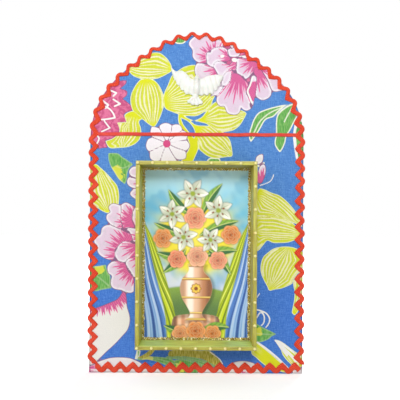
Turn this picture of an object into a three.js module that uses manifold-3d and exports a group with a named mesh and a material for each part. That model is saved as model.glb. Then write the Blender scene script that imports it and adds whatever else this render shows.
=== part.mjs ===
// Wall shrine in folk style: an arch-topped board covered in printed cotton and
// edged with rick-rack, with a shadow box glued on its front, half pearls round
// the box, a resin dove above it and a swinging ring hanger on the back.
//
// Millimetres. +Z is up, the front faces -Y, and +X is to the right as seen from
// the front. The origin is the centre of the covered board's bottom edge.

import * as THREE from 'three';
import { mergeVertices } from 'three/addons/utils/BufferGeometryUtils.js';
import Module from 'manifold-3d';

const wasm = await Module();
wasm.setup();

// Covered board, as seen from the front
const plaqueWidth = 168;
const plaqueHeight = 266;
const springHeight = 183.5;
const haunchDraw = 0.0565; // how far the arch is drawn in halfway up, as a share of its radius
const haunchLean = 1.25; // how much more it is drawn in towards the crown than below
const archSteps = 60;
const boardThickness = 6;

// Cotton cover
const clothThickness = 0.4;
const clothEase = 0.1; // air between the cloth and the board's edge
const hemWidth = 12;

// Rick-rack and braid
const rickrackWidth = 7.8;
const rickrackBand = 3.2;
const rickrackPeriod = 9.8;
const rickrackThickness = 1;
const rickrackOverhang = 1.3; // past the board's edge, at the sides
const rickrackShift = 2; // how much further out its middle lies over the arch
const rickrackTaper = 0.15; // how much narrower it is there, drawn tight round the bend
const rickrackSteps = 6; // points in each wave, on each edge of the trim
// The trim is glued on by hand, so its waves aren't all of one length. Each pair is a count
// of waves and how far along the trim they reach, as a share of its length.
const surroundWaves = [
  [0.04, 0], [17.55, 0.2923], [23.5, 0.4013], [38.5, 0.6764], [40.36, 0.7077], [57.45, 1],
];
const baseWaves = [[0.5, 0], [16.86, 1]];
const baseTrimSetback = 2.6; // its left end, in from the middle of the trim up the side
const trimGap = 0.3;
const braidWidth = 2.8;
const braidThickness = 1.2;
const braidRise = 4.2; // its centre line, above the arch's spring

// Shadow box
const boxWidth = 90;
const boxHeight = 140;
const boxDepth = 25;
const boxLift = 24; // its lower edge, above the board's lower edge
const wallThickness = 3;
const floorThickness = 3;
const cardThickness = 0.3;
const cardEase = 0.4; // gap between the card and each wall
const glitterWidth = 1.8;
const glitterHeight = 1.1;

// Half pearls on the box's front edges
const pearlRadius = 1.25;
const pearlHeight = 1.3;
const pearlGaps = 8; // gaps on each side, so one pearl more, counting both corners

// Dove
const doveShare = 0.4863; // how far up its centre is, from the braid to the crown of the arch
const doveSpan = 42;
const doveReach = 27; // from the fan of its tail to the crown of its head
const wingThickness = 2.2;
const bodyWidth = 9.5;
const bodyDepth = 5;
const headRadius = 2.3;

// Ring hanger on the back
const hangerDrop = 48; // the centre of its eye, below the crown of the arch
const strapWidth = 10;
const strapLength = 15;
const tinThickness = 0.6; // one leaf of the folded strap
const wireRadius = 0.8;
const wireEase = 0.3; // between the wire and the inside of the eye
const ringWidth = 20;
const ringLength = 26; // from the middle of its straight bar to its far end
const ringCorner = 2;

// Pan-head screws
const screwRadius = 1.2;
const screwLength = 4.6; // under the head, through the strap and into the board
const screwHeadRadius = 2.1;
const screwHeadHeight = 1.1;
const screwSlot = 0.6;
const screwSlotDepth = 0.5;
const screwEase = 0.1;
const screwSpacing = 5.6;
const screwDrop = 5; // the upper screw, below the eye

// Places that follow from the sizes
const boardBack = boardThickness / 2;
const boardFront = -boardBack;
const clothFront = boardFront - clothThickness;
const braidMiddle = springHeight + braidRise;
const braidTop = braidMiddle + braidWidth / 2;
const doveMiddle = braidTop + doveShare * (plaqueHeight - braidTop);
const boxMiddle = boxLift + boxHeight / 2;
const innerWidth = boxWidth - 2 * wallThickness;
const innerHeight = boxHeight - 2 * wallThickness;
const wallDepth = boxDepth - floorThickness;
const hangerHeight = plaqueHeight - hangerDrop;
const eyeBore = wireRadius + wireEase;
const eyeRadius = eyeBore + tinThickness;

// Finishes
const finish = (color, roughness, metalness = 0) =>
  new THREE.MeshStandardMaterial({ color, roughness, metalness });
const rawBoard = finish(0xb28f67, 0.85);
const printedCotton = finish(0x4f86cc, 0.9);
const redTrim = finish(0xe03a26, 0.8);
const redBraid = finish(0xdd2f22, 0.7);
const olivePaint = finish(0xb9b25c, 0.55);
const printedCard = finish(0x8db9cc, 0.3);
const goldGlitter = finish(0xb98f3c, 0.35, 0.3);
const pearl = finish(0xf3ecc0, 0.25);
const whiteResin = finish(0xf6f3ec, 0.5);
const tinPlate = finish(0xc9b877, 0.4, 0.9);
const steelWire = finish(0xbfc3c6, 0.3, 1);

// A closed geometry as a solid that can be joined and cut, and back again
function toSolid(geometry) {
  const bare = geometry.clone();
  bare.deleteAttribute('normal');
  bare.deleteAttribute('uv');
  const merged = mergeVertices(bare, 1e-5);
  return new wasm.Manifold(new wasm.Mesh({
    numProp: 3,
    vertProperties: new Float32Array(merged.attributes.position.array),
    triVerts: new Uint32Array(merged.index.array),
  }));
}

function toGeometry(solid) {
  const { vertProperties, triVerts } = solid.getMesh();
  const geometry = new THREE.BufferGeometry();
  geometry.setAttribute('position', new THREE.BufferAttribute(vertProperties, 3));
  geometry.setIndex(new THREE.BufferAttribute(triVerts, 1));
  const faceted = geometry.toNonIndexed();
  faceted.computeVertexNormals();
  return faceted;
}

// A flat piece drawn as seen from the front, standing up, from y = 0 forwards by its depth
function frontPlate(shape, depth, curveSegments = 12) {
  return new THREE.ExtrudeGeometry(shape, { depth, bevelEnabled: false, curveSegments })
    .rotateX(Math.PI / 2);
}

// A body of revolution about Y, from a profile of [radius, y] that starts and ends on the axis
const turned = (profile, sides) =>
  new THREE.LatheGeometry(profile.map(([r, y]) => new THREE.Vector2(r, y)), sides);

// Points on the covered board's outline, moved inwards by the inset at each angle. They run
// from the right end of the spring over the arch to its left end. The arch is nearly a half
// circle, whose radius is drawn in between its ends and its crown, and most towards the crown.
function archPoints(insetAt, steps = archSteps) {
  const halfWidth = plaqueWidth / 2;
  const rise = plaqueHeight - springHeight;
  const drawAt = (angle) => haunchDraw * Math.sin(2 * angle) ** 2
    * (1 + haunchLean * (Math.sin(angle) ** 2 - 0.5));
  const radiusAt = (angle) =>
    (halfWidth * Math.cos(angle) ** 2 + rise * Math.sin(angle) ** 2) * (1 - drawAt(angle));
  const slopeAt = (angle) => (radiusAt(angle + 1e-4) - radiusAt(angle - 1e-4)) / 2e-4;
  return Array.from({ length: steps + 1 }, (_, i) => {
    const angle = (Math.PI * i) / steps;
    const out = new THREE.Vector2(Math.cos(angle), Math.sin(angle));
    const along = new THREE.Vector2(-out.y, out.x);
    const tangent = out.clone().multiplyScalar(slopeAt(angle))
      .addScaledVector(along, radiusAt(angle));
    const normal = new THREE.Vector2(tangent.y, -tangent.x).normalize();
    return new THREE.Vector2(0, springHeight)
      .addScaledVector(out, radiusAt(angle))
      .addScaledVector(normal, -insetAt(angle));
  });
}

const plaqueShape = (inset) => new THREE.Shape([
  new THREE.Vector2(-plaqueWidth / 2 + inset, inset),
  new THREE.Vector2(plaqueWidth / 2 - inset, inset),
  ...archPoints(() => inset),
]);

// The share of the trim's shift and taper at a place on the arch, given the sine of its angle.
// It grows fast above the spring and hardly changes towards the crown.
const trimTurn = (sine) => 1 - (1 - sine ** 2) ** 2;

// Rick-rack along a path: a flat trim whose centre line swings from side to side of the
// path as a cosine, with the same width measured square to the trim all along a side. It
// bends to the right of the path at each whole count of waves.
function rickrackShape(path, waves) {
  const first = waves[0][0];
  const last = waves[waves.length - 1][0];
  const counts = [first];
  for (let i = Math.floor(first * rickrackSteps) + 1; i < last * rickrackSteps; i += 1)
    counts.push(i / rickrackSteps);
  counts.push(last);

  const swing = (rickrackWidth - rickrackBand) / 2;
  const steepest = (2 * Math.PI * swing) / rickrackPeriod;
  const shareAt = (count) => {
    const i = waves.findIndex(([end]) => end > first && count <= end);
    const [[from, start], [to, end]] = [waves[i - 1], waves[i]];
    return start + ((end - start) * (count - from)) / (to - from);
  };
  const edge = (side) => counts.map((count) => {
    const turn = 2 * Math.PI * count;
    const slope = steepest * Math.sin(turn);
    const at = path.getPointAt(shareAt(count));
    const sine = Math.max(0, at.y - springHeight) / (plaqueHeight - springHeight);
    const narrowing = 1 - rickrackTaper * trimTurn(Math.min(1, sine));
    const across = narrowing
      * ((side * rickrackBand * Math.hypot(1, slope)) / 2 - swing * Math.cos(turn));
    const { x, y } = path.getTangentAt(shareAt(count));
    return new THREE.Vector2(at.x - y * across, at.y + x * across);
  });
  return new THREE.Shape([...edge(-1), ...edge(1).reverse()]);
}

function pathThrough(points) {
  const path = new THREE.CurvePath();
  points.slice(1).forEach((point, i) => path.add(new THREE.LineCurve(points[i], point)));
  return path;
}

// The trim's centre line lies this far inside the board's edge, less over the arch. It runs
// up the left side, over the arch and down the right side, and ends above the trim along
// the base.
const trimInset = rickrackWidth / 2 - rickrackOverhang;
const trimInsetAt = (angle) => trimInset - rickrackShift * trimTurn(Math.sin(angle));
const baseTrimMiddle = trimGap + rickrackWidth / 2;
const surroundFoot = baseTrimMiddle + rickrackWidth / 2 + trimGap;
const trimSide = plaqueWidth / 2 - trimInset;
const surroundPath = pathThrough([
  new THREE.Vector2(-trimSide, surroundFoot),
  ...archPoints(trimInsetAt, 4 * archSteps).reverse(),
  new THREE.Vector2(trimSide, surroundFoot),
]);
const basePath = pathThrough([
  new THREE.Vector2(baseTrimSetback - trimSide, baseTrimMiddle),
  new THREE.Vector2(trimSide, baseTrimMiddle),
]);

// How far from the middle of the plaque the inner edge of the trim lies at one height
function innerEdgeAt(height) {
  const middle = archPoints(trimInsetAt, 4 * archSteps).reduce((best, point) =>
    (point.x > 0 && Math.abs(point.y - height) < Math.abs(best.y - height) ? point : best));
  return middle.x - rickrackWidth / 2;
}

const shrine = new THREE.Group();
shrine.name = 'devotional_shrine';

function place(name, geometry, material, x = 0, y = 0, z = 0, group = shrine) {
  const mesh = new THREE.Mesh(geometry, material);
  mesh.name = name;
  mesh.position.set(x, y, z);
  group.add(mesh);
  return mesh;
}

// Hanger: a strip of tin folded round the ring's straight bar, screwed to the board
const screwHeights = [0, 1].map((i) => hangerHeight - screwDrop - i * screwSpacing);
const leafDepth = 2 * tinThickness;
const screwSeat = boardBack + leafDepth; // the strap's outer face, under the heads

// A hole along Y that starts at y = 0 and runs backwards or forwards by its length
const drill = (radius, length) =>
  toSolid(turned([[0, 0], [radius, 0], [radius, length], [0, length]], 20));

function buildBackboard() {
  const bore = screwRadius + screwEase;
  const boreDepth = screwLength - leafDepth + screwEase;
  let board = toSolid(frontPlate(plaqueShape(clothThickness + clothEase), boardThickness))
    .translate([0, boardBack, 0]);
  for (const height of screwHeights) {
    const hole = drill(bore, boreDepth + screwEase);
    board = board.subtract(hole.translate([0, boardBack - boreDepth, height]));
  }
  place('backboard', toGeometry(board), rawBoard);
}

// The cover: a sheet on the front, a band round the edge and a hem on the back
function buildCover() {
  const coverDepth = boardThickness + 2 * clothThickness;
  const outside = toSolid(frontPlate(plaqueShape(0), coverDepth))
    .translate([0, boardBack + clothThickness, 0]);
  const inside = toSolid(frontPlate(plaqueShape(clothThickness), boardThickness))
    .translate([0, boardBack, 0]);
  const opening = toSolid(frontPlate(plaqueShape(hemWidth), 3 * clothThickness))
    .translate([0, boardBack + 2 * clothThickness, 0]);
  place('fabric_cover', toGeometry(outside.subtract(inside).subtract(opening)), printedCotton);
}

function buildTrim() {
  const lay = (name, path, waves) => place(
    name, frontPlate(rickrackShape(path, waves), rickrackThickness), redTrim, 0, clothFront, 0);
  lay('rickrack_surround', surroundPath, surroundWaves);
  lay('rickrack_base', basePath, baseWaves);

  const reach = innerEdgeAt(braidTop) - trimGap;
  const section = new THREE.Shape();
  section.moveTo(0, -braidWidth / 2);
  section.absellipse(0, 0, braidThickness, braidWidth / 2, -Math.PI / 2, Math.PI / 2, false);
  section.closePath();
  const braid = new THREE.ExtrudeGeometry(section, {
    depth: 2 * reach, bevelEnabled: false, curveSegments: 10,
  });
  // The section's x turns to face the front, and its length to run along X
  const turn = new THREE.Matrix4().makeBasis(
    new THREE.Vector3(0, -1, 0), new THREE.Vector3(0, 0, 1), new THREE.Vector3(-1, 0, 0));
  place('cross_braid', braid.applyMatrix4(turn), redBraid, reach, clothFront, braidMiddle);
}

// The shadow box's own origin is the middle of its back, on the cloth
function buildBox() {
  const box = new THREE.Group();
  box.position.set(0, clothFront, boxMiddle);
  shrine.add(box);

  const block = (name, width, depth, height, material, x, back, z) =>
    place(name, new THREE.BoxGeometry(width, depth, height), material, x, back - depth / 2, z, box);
  const sideways = (boxWidth - wallThickness) / 2;
  const upright = (boxHeight - wallThickness) / 2;

  block('box_floor', boxWidth, floorThickness, boxHeight, olivePaint, 0, 0, 0);
  for (const [side, sign] of [['top', 1], ['bottom', -1]])
    block(`box_${side}`, boxWidth, wallDepth, wallThickness, olivePaint,
      0, -floorThickness, sign * upright);
  for (const [side, sign] of [['left', -1], ['right', 1]])
    block(`box_${side}`, wallThickness, wallDepth, innerHeight, olivePaint,
      sign * sideways, -floorThickness, 0);

  block('devotional_print', innerWidth - 2 * cardEase, cardThickness,
    innerHeight - 2 * cardEase, printedCard, 0, -floorThickness, 0);

  // Glitter: a quarter-round line in the corner between the card and each wall
  const cardFront = -floorThickness - cardThickness;
  const quarter = new THREE.Shape();
  quarter.moveTo(0, 0);
  quarter.lineTo(glitterWidth, 0);
  quarter.absellipse(0, 0, glitterWidth, glitterHeight, 0, Math.PI / 2, false);
  quarter.closePath();
  const bead = (length) => new THREE.ExtrudeGeometry(quarter, {
    depth: length, bevelEnabled: false, curveSegments: 4,
  }).translate(0, 0, -length / 2);
  const front = new THREE.Vector3(0, -1, 0);
  const lay = (name, length, inward, x, z) => {
    const run = new THREE.Vector3().crossVectors(inward, front);
    const turn = new THREE.Matrix4().makeBasis(inward, front, run);
    place(name, bead(length).applyMatrix4(turn), goldGlitter, x, cardFront, z, box);
  };
  for (const [side, sign] of [['left', -1], ['right', 1]])
    lay(`glitter_${side}`, innerHeight, new THREE.Vector3(-sign, 0, 0), (sign * innerWidth) / 2, 0);
  for (const [side, sign] of [['top', 1], ['bottom', -1]])
    lay(`glitter_${side}`, innerWidth - 2 * glitterWidth, new THREE.Vector3(0, 0, -sign),
      0, (sign * innerHeight) / 2);

  // Half pearls along the middle of each wall's front edge
  const dome = [0, 1, 2, 3].map((i) => {
    const angle = (Math.PI / 2) * (i / 3);
    return [pearlRadius * Math.cos(angle), pearlHeight * Math.sin(angle)];
  });
  dome[3][0] = 0;
  const halfPearl = turned([[0, 0], ...dome], 8).rotateX(Math.PI);
  const setPearl = (name, x, z) => place(name, halfPearl, pearl, x, -boxDepth, z, box);
  for (let i = 0; i <= pearlGaps; i += 1) {
    const x = sideways * ((2 * i) / pearlGaps - 1);
    setPearl(`pearl_top_${i + 1}`, x, upright);
    setPearl(`pearl_bottom_${i + 1}`, x, -upright);
  }
  for (let i = 1; i < pearlGaps; i += 1) {
    const z = upright * (1 - (2 * i) / pearlGaps);
    setPearl(`pearl_left_${i}`, -sideways, z);
    setPearl(`pearl_right_${i}`, sideways, z);
  }
}

// Dove: two wings and a fan tail as thin plates, with a domed body and head joined on.
// Its outlines are drawn in shares of the span across and of the reach upwards.
function buildDove() {
  const at = (x, z) => new THREE.Vector2(x * doveSpan, z * doveReach);
  const plate = (points) => {
    const shape = new THREE.Shape();
    shape.moveTo(points[0].x, points[0].y);
    shape.splineThru(points.slice(1));
    shape.closePath();
    return toSolid(frontPlate(shape, wingThickness, 2));
  };
  const leftWing = plate([
    at(0, 0.28), at(-0.13, 0.15), at(-0.21, 0.35), at(-0.3, 0.43), at(-0.385, 0.405),
    at(-0.448, 0.452), at(-0.5, 0.56), at(-0.492, 0.39), at(-0.457, 0.22), at(-0.402, 0.078),
    at(-0.326, -0.078), at(-0.24, -0.226), at(-0.167, -0.285), at(-0.095, -0.3), at(0.02, -0.26),
  ]);
  const rightWing = plate([
    at(0, -0.27), at(0.107, -0.3), at(0.193, -0.29), at(0.307, -0.23), at(0.407, -0.026),
    at(0.481, 0.204), at(0.5, 0.274), at(0.381, 0.307), at(0.286, 0.3), at(0.193, 0.278),
    at(0.105, 0.207), at(0.05, 0.2), at(0, 0.28),
  ]);
  const tail = plate([
    at(-0.071, -0.2), at(-0.1, -0.355), at(-0.205, -0.46), at(-0.148, -0.555),
    at(-0.029, -0.596), at(0.071, -0.567), at(0.124, -0.504), at(0.038, -0.36), at(0.019, -0.2),
  ]);
  const ball = (x, y, z, width, depth, height) =>
    toSolid(new THREE.SphereGeometry(1, 20, 12)).scale([width / 2, depth, height / 2])
      .translate([x, y, z]);
  const body = ball(-0.01 * doveSpan, 0, -0.02 * doveReach, bodyWidth, bodyDepth, 0.62 * doveReach);
  const head = ball(0, -headRadius, 0.2 * doveReach, 2 * headRadius, headRadius, 2.4 * headRadius);
  const behind = toSolid(new THREE.BoxGeometry(2 * doveSpan, 2 * bodyDepth, 3 * doveReach))
    .translate([0, bodyDepth, 0]);
  const dove = leftWing.add(rightWing).add(tail).add(body).add(head).subtract(behind);
  place('dove', toGeometry(dove), whiteResin, 0, clothFront, doveMiddle);
}

function buildHanger() {
  // The strap's section, with x away from the board and y up: two leaves and an eye
  const meet = Math.PI + Math.acos((eyeRadius - leafDepth) / eyeRadius);
  const section = new THREE.Shape();
  section.moveTo(0, -strapLength);
  section.lineTo(leafDepth, -strapLength);
  section.absarc(eyeRadius, 0, eyeRadius, meet, Math.PI, false);
  section.closePath();
  const bore = new THREE.Path();
  bore.absarc(eyeRadius, 0, eyeBore, 0, 2 * Math.PI, true);
  section.holes.push(bore);
  const toBack = new THREE.Matrix4().makeBasis(
    new THREE.Vector3(0, 1, 0), new THREE.Vector3(0, 0, 1), new THREE.Vector3(1, 0, 0));
  const bar = new THREE.ExtrudeGeometry(section, {
    depth: strapWidth, bevelEnabled: false, curveSegments: 20,
  }).translate(0, 0, -strapWidth / 2).applyMatrix4(toBack);
  let strap = toSolid(bar).translate([0, boardBack, hangerHeight]);
  for (const height of screwHeights) {
    const hole = drill(screwRadius + screwEase, 2 * leafDepth);
    strap = strap.subtract(hole.translate([0, boardBack - leafDepth / 2, height]));
  }
  place('hanger_strap', toGeometry(strap), tinPlate);

  // Each screw: a shank with a low domed head, cut across by two slots
  const headProfile = [0, 1, 2, 3].map((i) => {
    const angle = (Math.PI / 2) * (i / 3);
    return [screwHeadRadius * Math.cos(angle) ** 0.5, screwHeadHeight * Math.sin(angle)];
  });
  headProfile[3][0] = 0;
  const screw = toSolid(turned(
    [[0, -screwLength], [screwRadius, -screwLength], [screwRadius, 0], ...headProfile], 16));
  const slot = (width, height) => toSolid(new THREE.BoxGeometry(width, 2 * screwSlotDepth, height))
    .translate([0, screwHeadHeight, 0]);
  const driven = screw.subtract(slot(2.4 * screwRadius, screwSlot))
    .subtract(slot(screwSlot, 2.4 * screwRadius));
  ['hanger_screw_upper', 'hanger_screw_lower'].forEach((name, i) =>
    place(name, toGeometry(driven), steelWire, 0, screwSeat, screwHeights[i]));

  place('hanger_ring', ringGeometry(), steelWire, 0, boardBack + eyeRadius, hangerHeight);
}

// The ring hangs straight down: a bar through the eye, two sides and a round far end.
// Its wire is carried round the closed outline, which is centred on the bar.
function ringGeometry() {
  const half = ringWidth / 2 - wireRadius;
  const bend = half; // the far end is a half circle
  const outline = new THREE.Path();
  outline.moveTo(0, 0);
  outline.lineTo(half - ringCorner, 0);
  outline.absarc(half - ringCorner, -ringCorner, ringCorner, Math.PI / 2, 0, true);
  outline.lineTo(half, bend - ringLength);
  outline.absarc(0, bend - ringLength, bend, 0, Math.PI, true);
  outline.lineTo(-half, -ringCorner);
  outline.absarc(ringCorner - half, -ringCorner, ringCorner, Math.PI, Math.PI / 2, true);
  const points = outline.getPoints(8).filter((point, i, all) =>
    i === 0 || point.distanceTo(all[i - 1]) > 1e-6);
  const sides = 8;
  const positions = [];
  points.forEach((point, i) => {
    const before = points[(i + points.length - 1) % points.length];
    const after = points[(i + 1) % points.length];
    const across = new THREE.Vector2(after.y - before.y, before.x - after.x).normalize();
    for (let k = 0; k < sides; k += 1) {
      const angle = (2 * Math.PI * k) / sides;
      positions.push(
        point.x + wireRadius * Math.cos(angle) * across.x,
        wireRadius * Math.sin(angle),
        point.y + wireRadius * Math.cos(angle) * across.y);
    }
  });
  const index = [];
  for (let i = 0; i < points.length; i += 1) {
    const next = (i + 1) % points.length;
    for (let k = 0; k < sides; k += 1) {
      const up = (k + 1) % sides;
      const [a, b, c, d] = [i * sides + k, i * sides + up, next * sides + up, next * sides + k];
      index.push(a, b, c, a, c, d);
    }
  }
  const geometry = new THREE.BufferGeometry();
  geometry.setAttribute('position', new THREE.Float32BufferAttribute(positions, 3));
  geometry.setIndex(index);
  geometry.computeVertexNormals();
  return geometry;
}

buildBackboard();
buildCover();
buildTrim();
buildBox();
buildDove();
buildHanger();

export default shrine;
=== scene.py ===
"""Looks of a wall shrine: printed cotton on an arched board, rick-rack, a painted shadow box
with half pearls and glitter, a printed card, a resin dove and a ring hanger on the back."""

import math

import bpy
import numpy as np
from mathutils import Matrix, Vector


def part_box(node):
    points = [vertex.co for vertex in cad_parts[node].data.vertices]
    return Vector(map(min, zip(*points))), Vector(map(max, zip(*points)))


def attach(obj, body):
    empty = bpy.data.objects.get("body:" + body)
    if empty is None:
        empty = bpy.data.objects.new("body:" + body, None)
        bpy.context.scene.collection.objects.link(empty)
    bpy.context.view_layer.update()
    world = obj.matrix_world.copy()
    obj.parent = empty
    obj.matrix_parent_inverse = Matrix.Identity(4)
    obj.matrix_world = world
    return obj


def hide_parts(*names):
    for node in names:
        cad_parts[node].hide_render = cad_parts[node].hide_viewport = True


bl_info = {
    "name": "Devotional shrine",
    "version": (1, 0, 0),
    "blender": (4, 5, 0),
    "location": "3D View > Sidebar > Shrine",
    "description": "Builds the cloth, trims, box, card, dove and hanger of an arched wall shrine",
    "category": "Object",
}

MM = 0.001
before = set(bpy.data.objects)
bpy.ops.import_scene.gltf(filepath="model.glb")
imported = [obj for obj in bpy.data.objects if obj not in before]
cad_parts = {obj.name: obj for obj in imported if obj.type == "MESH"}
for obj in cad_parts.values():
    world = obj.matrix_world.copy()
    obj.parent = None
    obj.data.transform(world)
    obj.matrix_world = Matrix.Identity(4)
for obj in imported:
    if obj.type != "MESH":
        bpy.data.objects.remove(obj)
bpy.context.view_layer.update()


def linear(code, alpha=1.0):
    """An sRGB hex colour as linear light: the sRGB curve undone for each channel."""
    parts = np.array([int(code[i : i + 2], 16) for i in (0, 2, 4)]) / 255
    light = np.where(parts <= 0.04045, parts / 12.92, ((parts + 0.055) / 1.055) ** 2.4)
    return (*light.tolist(), alpha)


def corners(node):
    """A CAD node's lowest and highest corner in millimetres."""
    low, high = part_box(node)
    return np.array(low) / MM, np.array(high) / MM


COVER_LOW, COVER_HIGH = corners("fabric_cover")
HALF_WIDTH = COVER_HIGH[0]
CLOTH_FRONT, CLOTH_BACK = COVER_LOW[1], COVER_HIGH[1]


# Motifs of the printed cotton, in millimetres on the board: x to the right, z up from its
# lower edge. Each outline is x, z, x, z and so on, with only the points its shape needs.

# Lime leaf: outline, the two ends that its stripes run between
LIME_LEAVES = (
    ((-54, 239, -48, 245.5, -40, 250.5, -31, 252, -25, 248.5, -21, 243, -20, 238, -23, 235.5,
     -30, 232, -36, 230.8, -43, 231, -49, 232.8, -53, 235.8), (-62, 240), (-19, 239)),
    ((-44, 231, -38, 231.5, -33, 229.5, -29, 224.5, -26.5, 218, -26, 211, -28, 204, -31, 197,
     -34, 193.5, -38, 195.5, -43, 199.5, -48, 203, -51, 207, -52.5, 213, -52, 219, -49, 225.5,
     -46, 229.5), (-40, 232), (-35, 193)),
    ((-57, 202.8, -50.5, 206, -46, 203.5, -42.5, 200, -45.5, 197.5, -44, 192, -44.5, 185,
     -48, 180.5, -54, 177.7, -62, 176.8, -69, 177, -72, 182.3, -66, 184.5, -61, 190, -63, 196.8,
     -55.5, 197.2), (-52, 205), (-60, 172)),
    ((-10, 241, -2, 242.5, 2, 240, 4, 232, 8, 222, 14, 219, 12, 214, 9, 207, 2, 203.5, -6, 202,
     -13, 203, -20, 205.5, -25, 208, -26.5, 214, -26, 220, -23, 227, -20, 234, -15, 238),
     (-28, 213), (16, 222)),
    ((-14.5, 203.5, -15, 200, -14.5, 197, -12.8, 193, -10, 189, -7, 183, -6, 178, -9, 172, -13, 166,
     -4, 166, -1, 171, 1.2, 177, 1, 184, 3, 190, 7, 199, 9.5, 207, 4, 205.5, -4, 203.2, -10, 203.5),
     (20, 240), (60, 280)),
    ((13.5, 213, 18, 214, 30, 209, 38.8, 205, 37, 200.5, 33.5, 195, 29, 191.5, 24, 190.2, 20, 189.7,
     14, 190.5, 9.5, 194.5, 3, 199, 7.8, 206.5), (2, 199), (42, 204)),
    ((-2.5, 187.5, 0, 196.5, 5, 199, 12, 196, 20, 189.7, 25, 185, 27, 180, 27.8, 171, 22, 170,
     15, 169, 9, 170.5, 5, 173.2, 1.8, 176.2, 0.8, 182), (0, 194), (30, 170)),
    ((-79.5, 164, -76, 161.5, -71, 157, -66, 151.5, -62.5, 147, -61, 141, -61, 135, -62, 131,
     -68, 126.5, -70, 125.5, -74, 127, -78, 129.5, -82, 131, -88, 133, -88, 162), (-80, 165),
     (-68, 125)),
    ((47.5, 143, 49, 145.5, 53, 145, 59, 142.3, 65, 140.3, 70, 136.5, 75, 131.3, 79.5, 125, 82, 119,
     84, 115, 78, 118, 70, 121, 60, 123.5, 52, 122, 45, 121, 44, 132), (44, 142), (84, 114)),
    ((45, 124, 55, 124.5, 62, 124.5, 70, 121.5, 77, 117.5, 81.5, 112.5, 82, 109, 78, 105.5,
     72, 103.3, 66, 102.8, 60, 103, 56, 104.5, 52.5, 101, 48.5, 96.5, 44, 96, 44, 110), (42, 112),
     (84, 110)),
    ((56, 95, 61, 98.5, 68, 100, 76, 99.5, 82, 97, 88, 93, 88, 86, 80, 79, 76.5, 74, 75.5, 71,
     72, 69, 67, 67, 62, 66.2, 57.5, 65.3, 56, 68.5, 53, 74, 50.8, 80, 50.8, 86, 52.5, 91.5),
     (56, 63), (74, 102)),
    ((76.5, 72, 77.5, 64, 77, 57, 75.7, 50.5, 75.5, 48, 77.5, 46, 80, 48.5, 82, 53, 88, 60, 88, 88,
     81, 79), (77, 45), (90, 92)),
    ((47, 24.5, 49, 24, 52, 21.5, 60, 15, 68, 8, 73.5, 3, 72, 1, 66, 2, 62, 4, 57, 5, 52, 8.5,
     47, 13, 44, 15.5, 44, 22), (-60, 110), (60, 13.6)),
    ((61.5, 26.9, 65, 26.4, 68.8, 24.5, 72.6, 21.7, 76.4, 18.8, 80.2, 16.4, 88, 15, 88, 5, 76.4, 6,
     74.5, 7.9, 71.6, 10.7, 69.3, 13.6, 68.1, 15.5, 66.9, 18.8, 65, 21.7, 63.1, 24.5), (61, 28),
     (84, 0)),
)

# Openings in the lime leaves, where the blue ground shows
LEAF_SLITS = (
    (-45.5, 199, -42, 194, -41, 190.5, -36.5, 191),
    (-10, 202.2, -5.7, 202.2, -2.2, 202, 1.3, 202.9, 4.5, 204.7, 7.6, 207, 5.6, 203.8, 2.6, 200.8,
     -2.2, 199, -6, 200),
    (-5, 198.3, -1, 198.1, 3, 197.3, 7, 196.2, 9.8, 194.5, 6, 194.7, 1.3, 194.9, -2, 195.9),
    (-12.6, 200.5, -8.9, 198.9, -6, 196.9, -3.6, 194, -2, 190.8, -1.7, 188, -2.2, 185, -5, 188,
     -7.3, 191, -9.8, 194.2, -11.4, 197),
)

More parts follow.
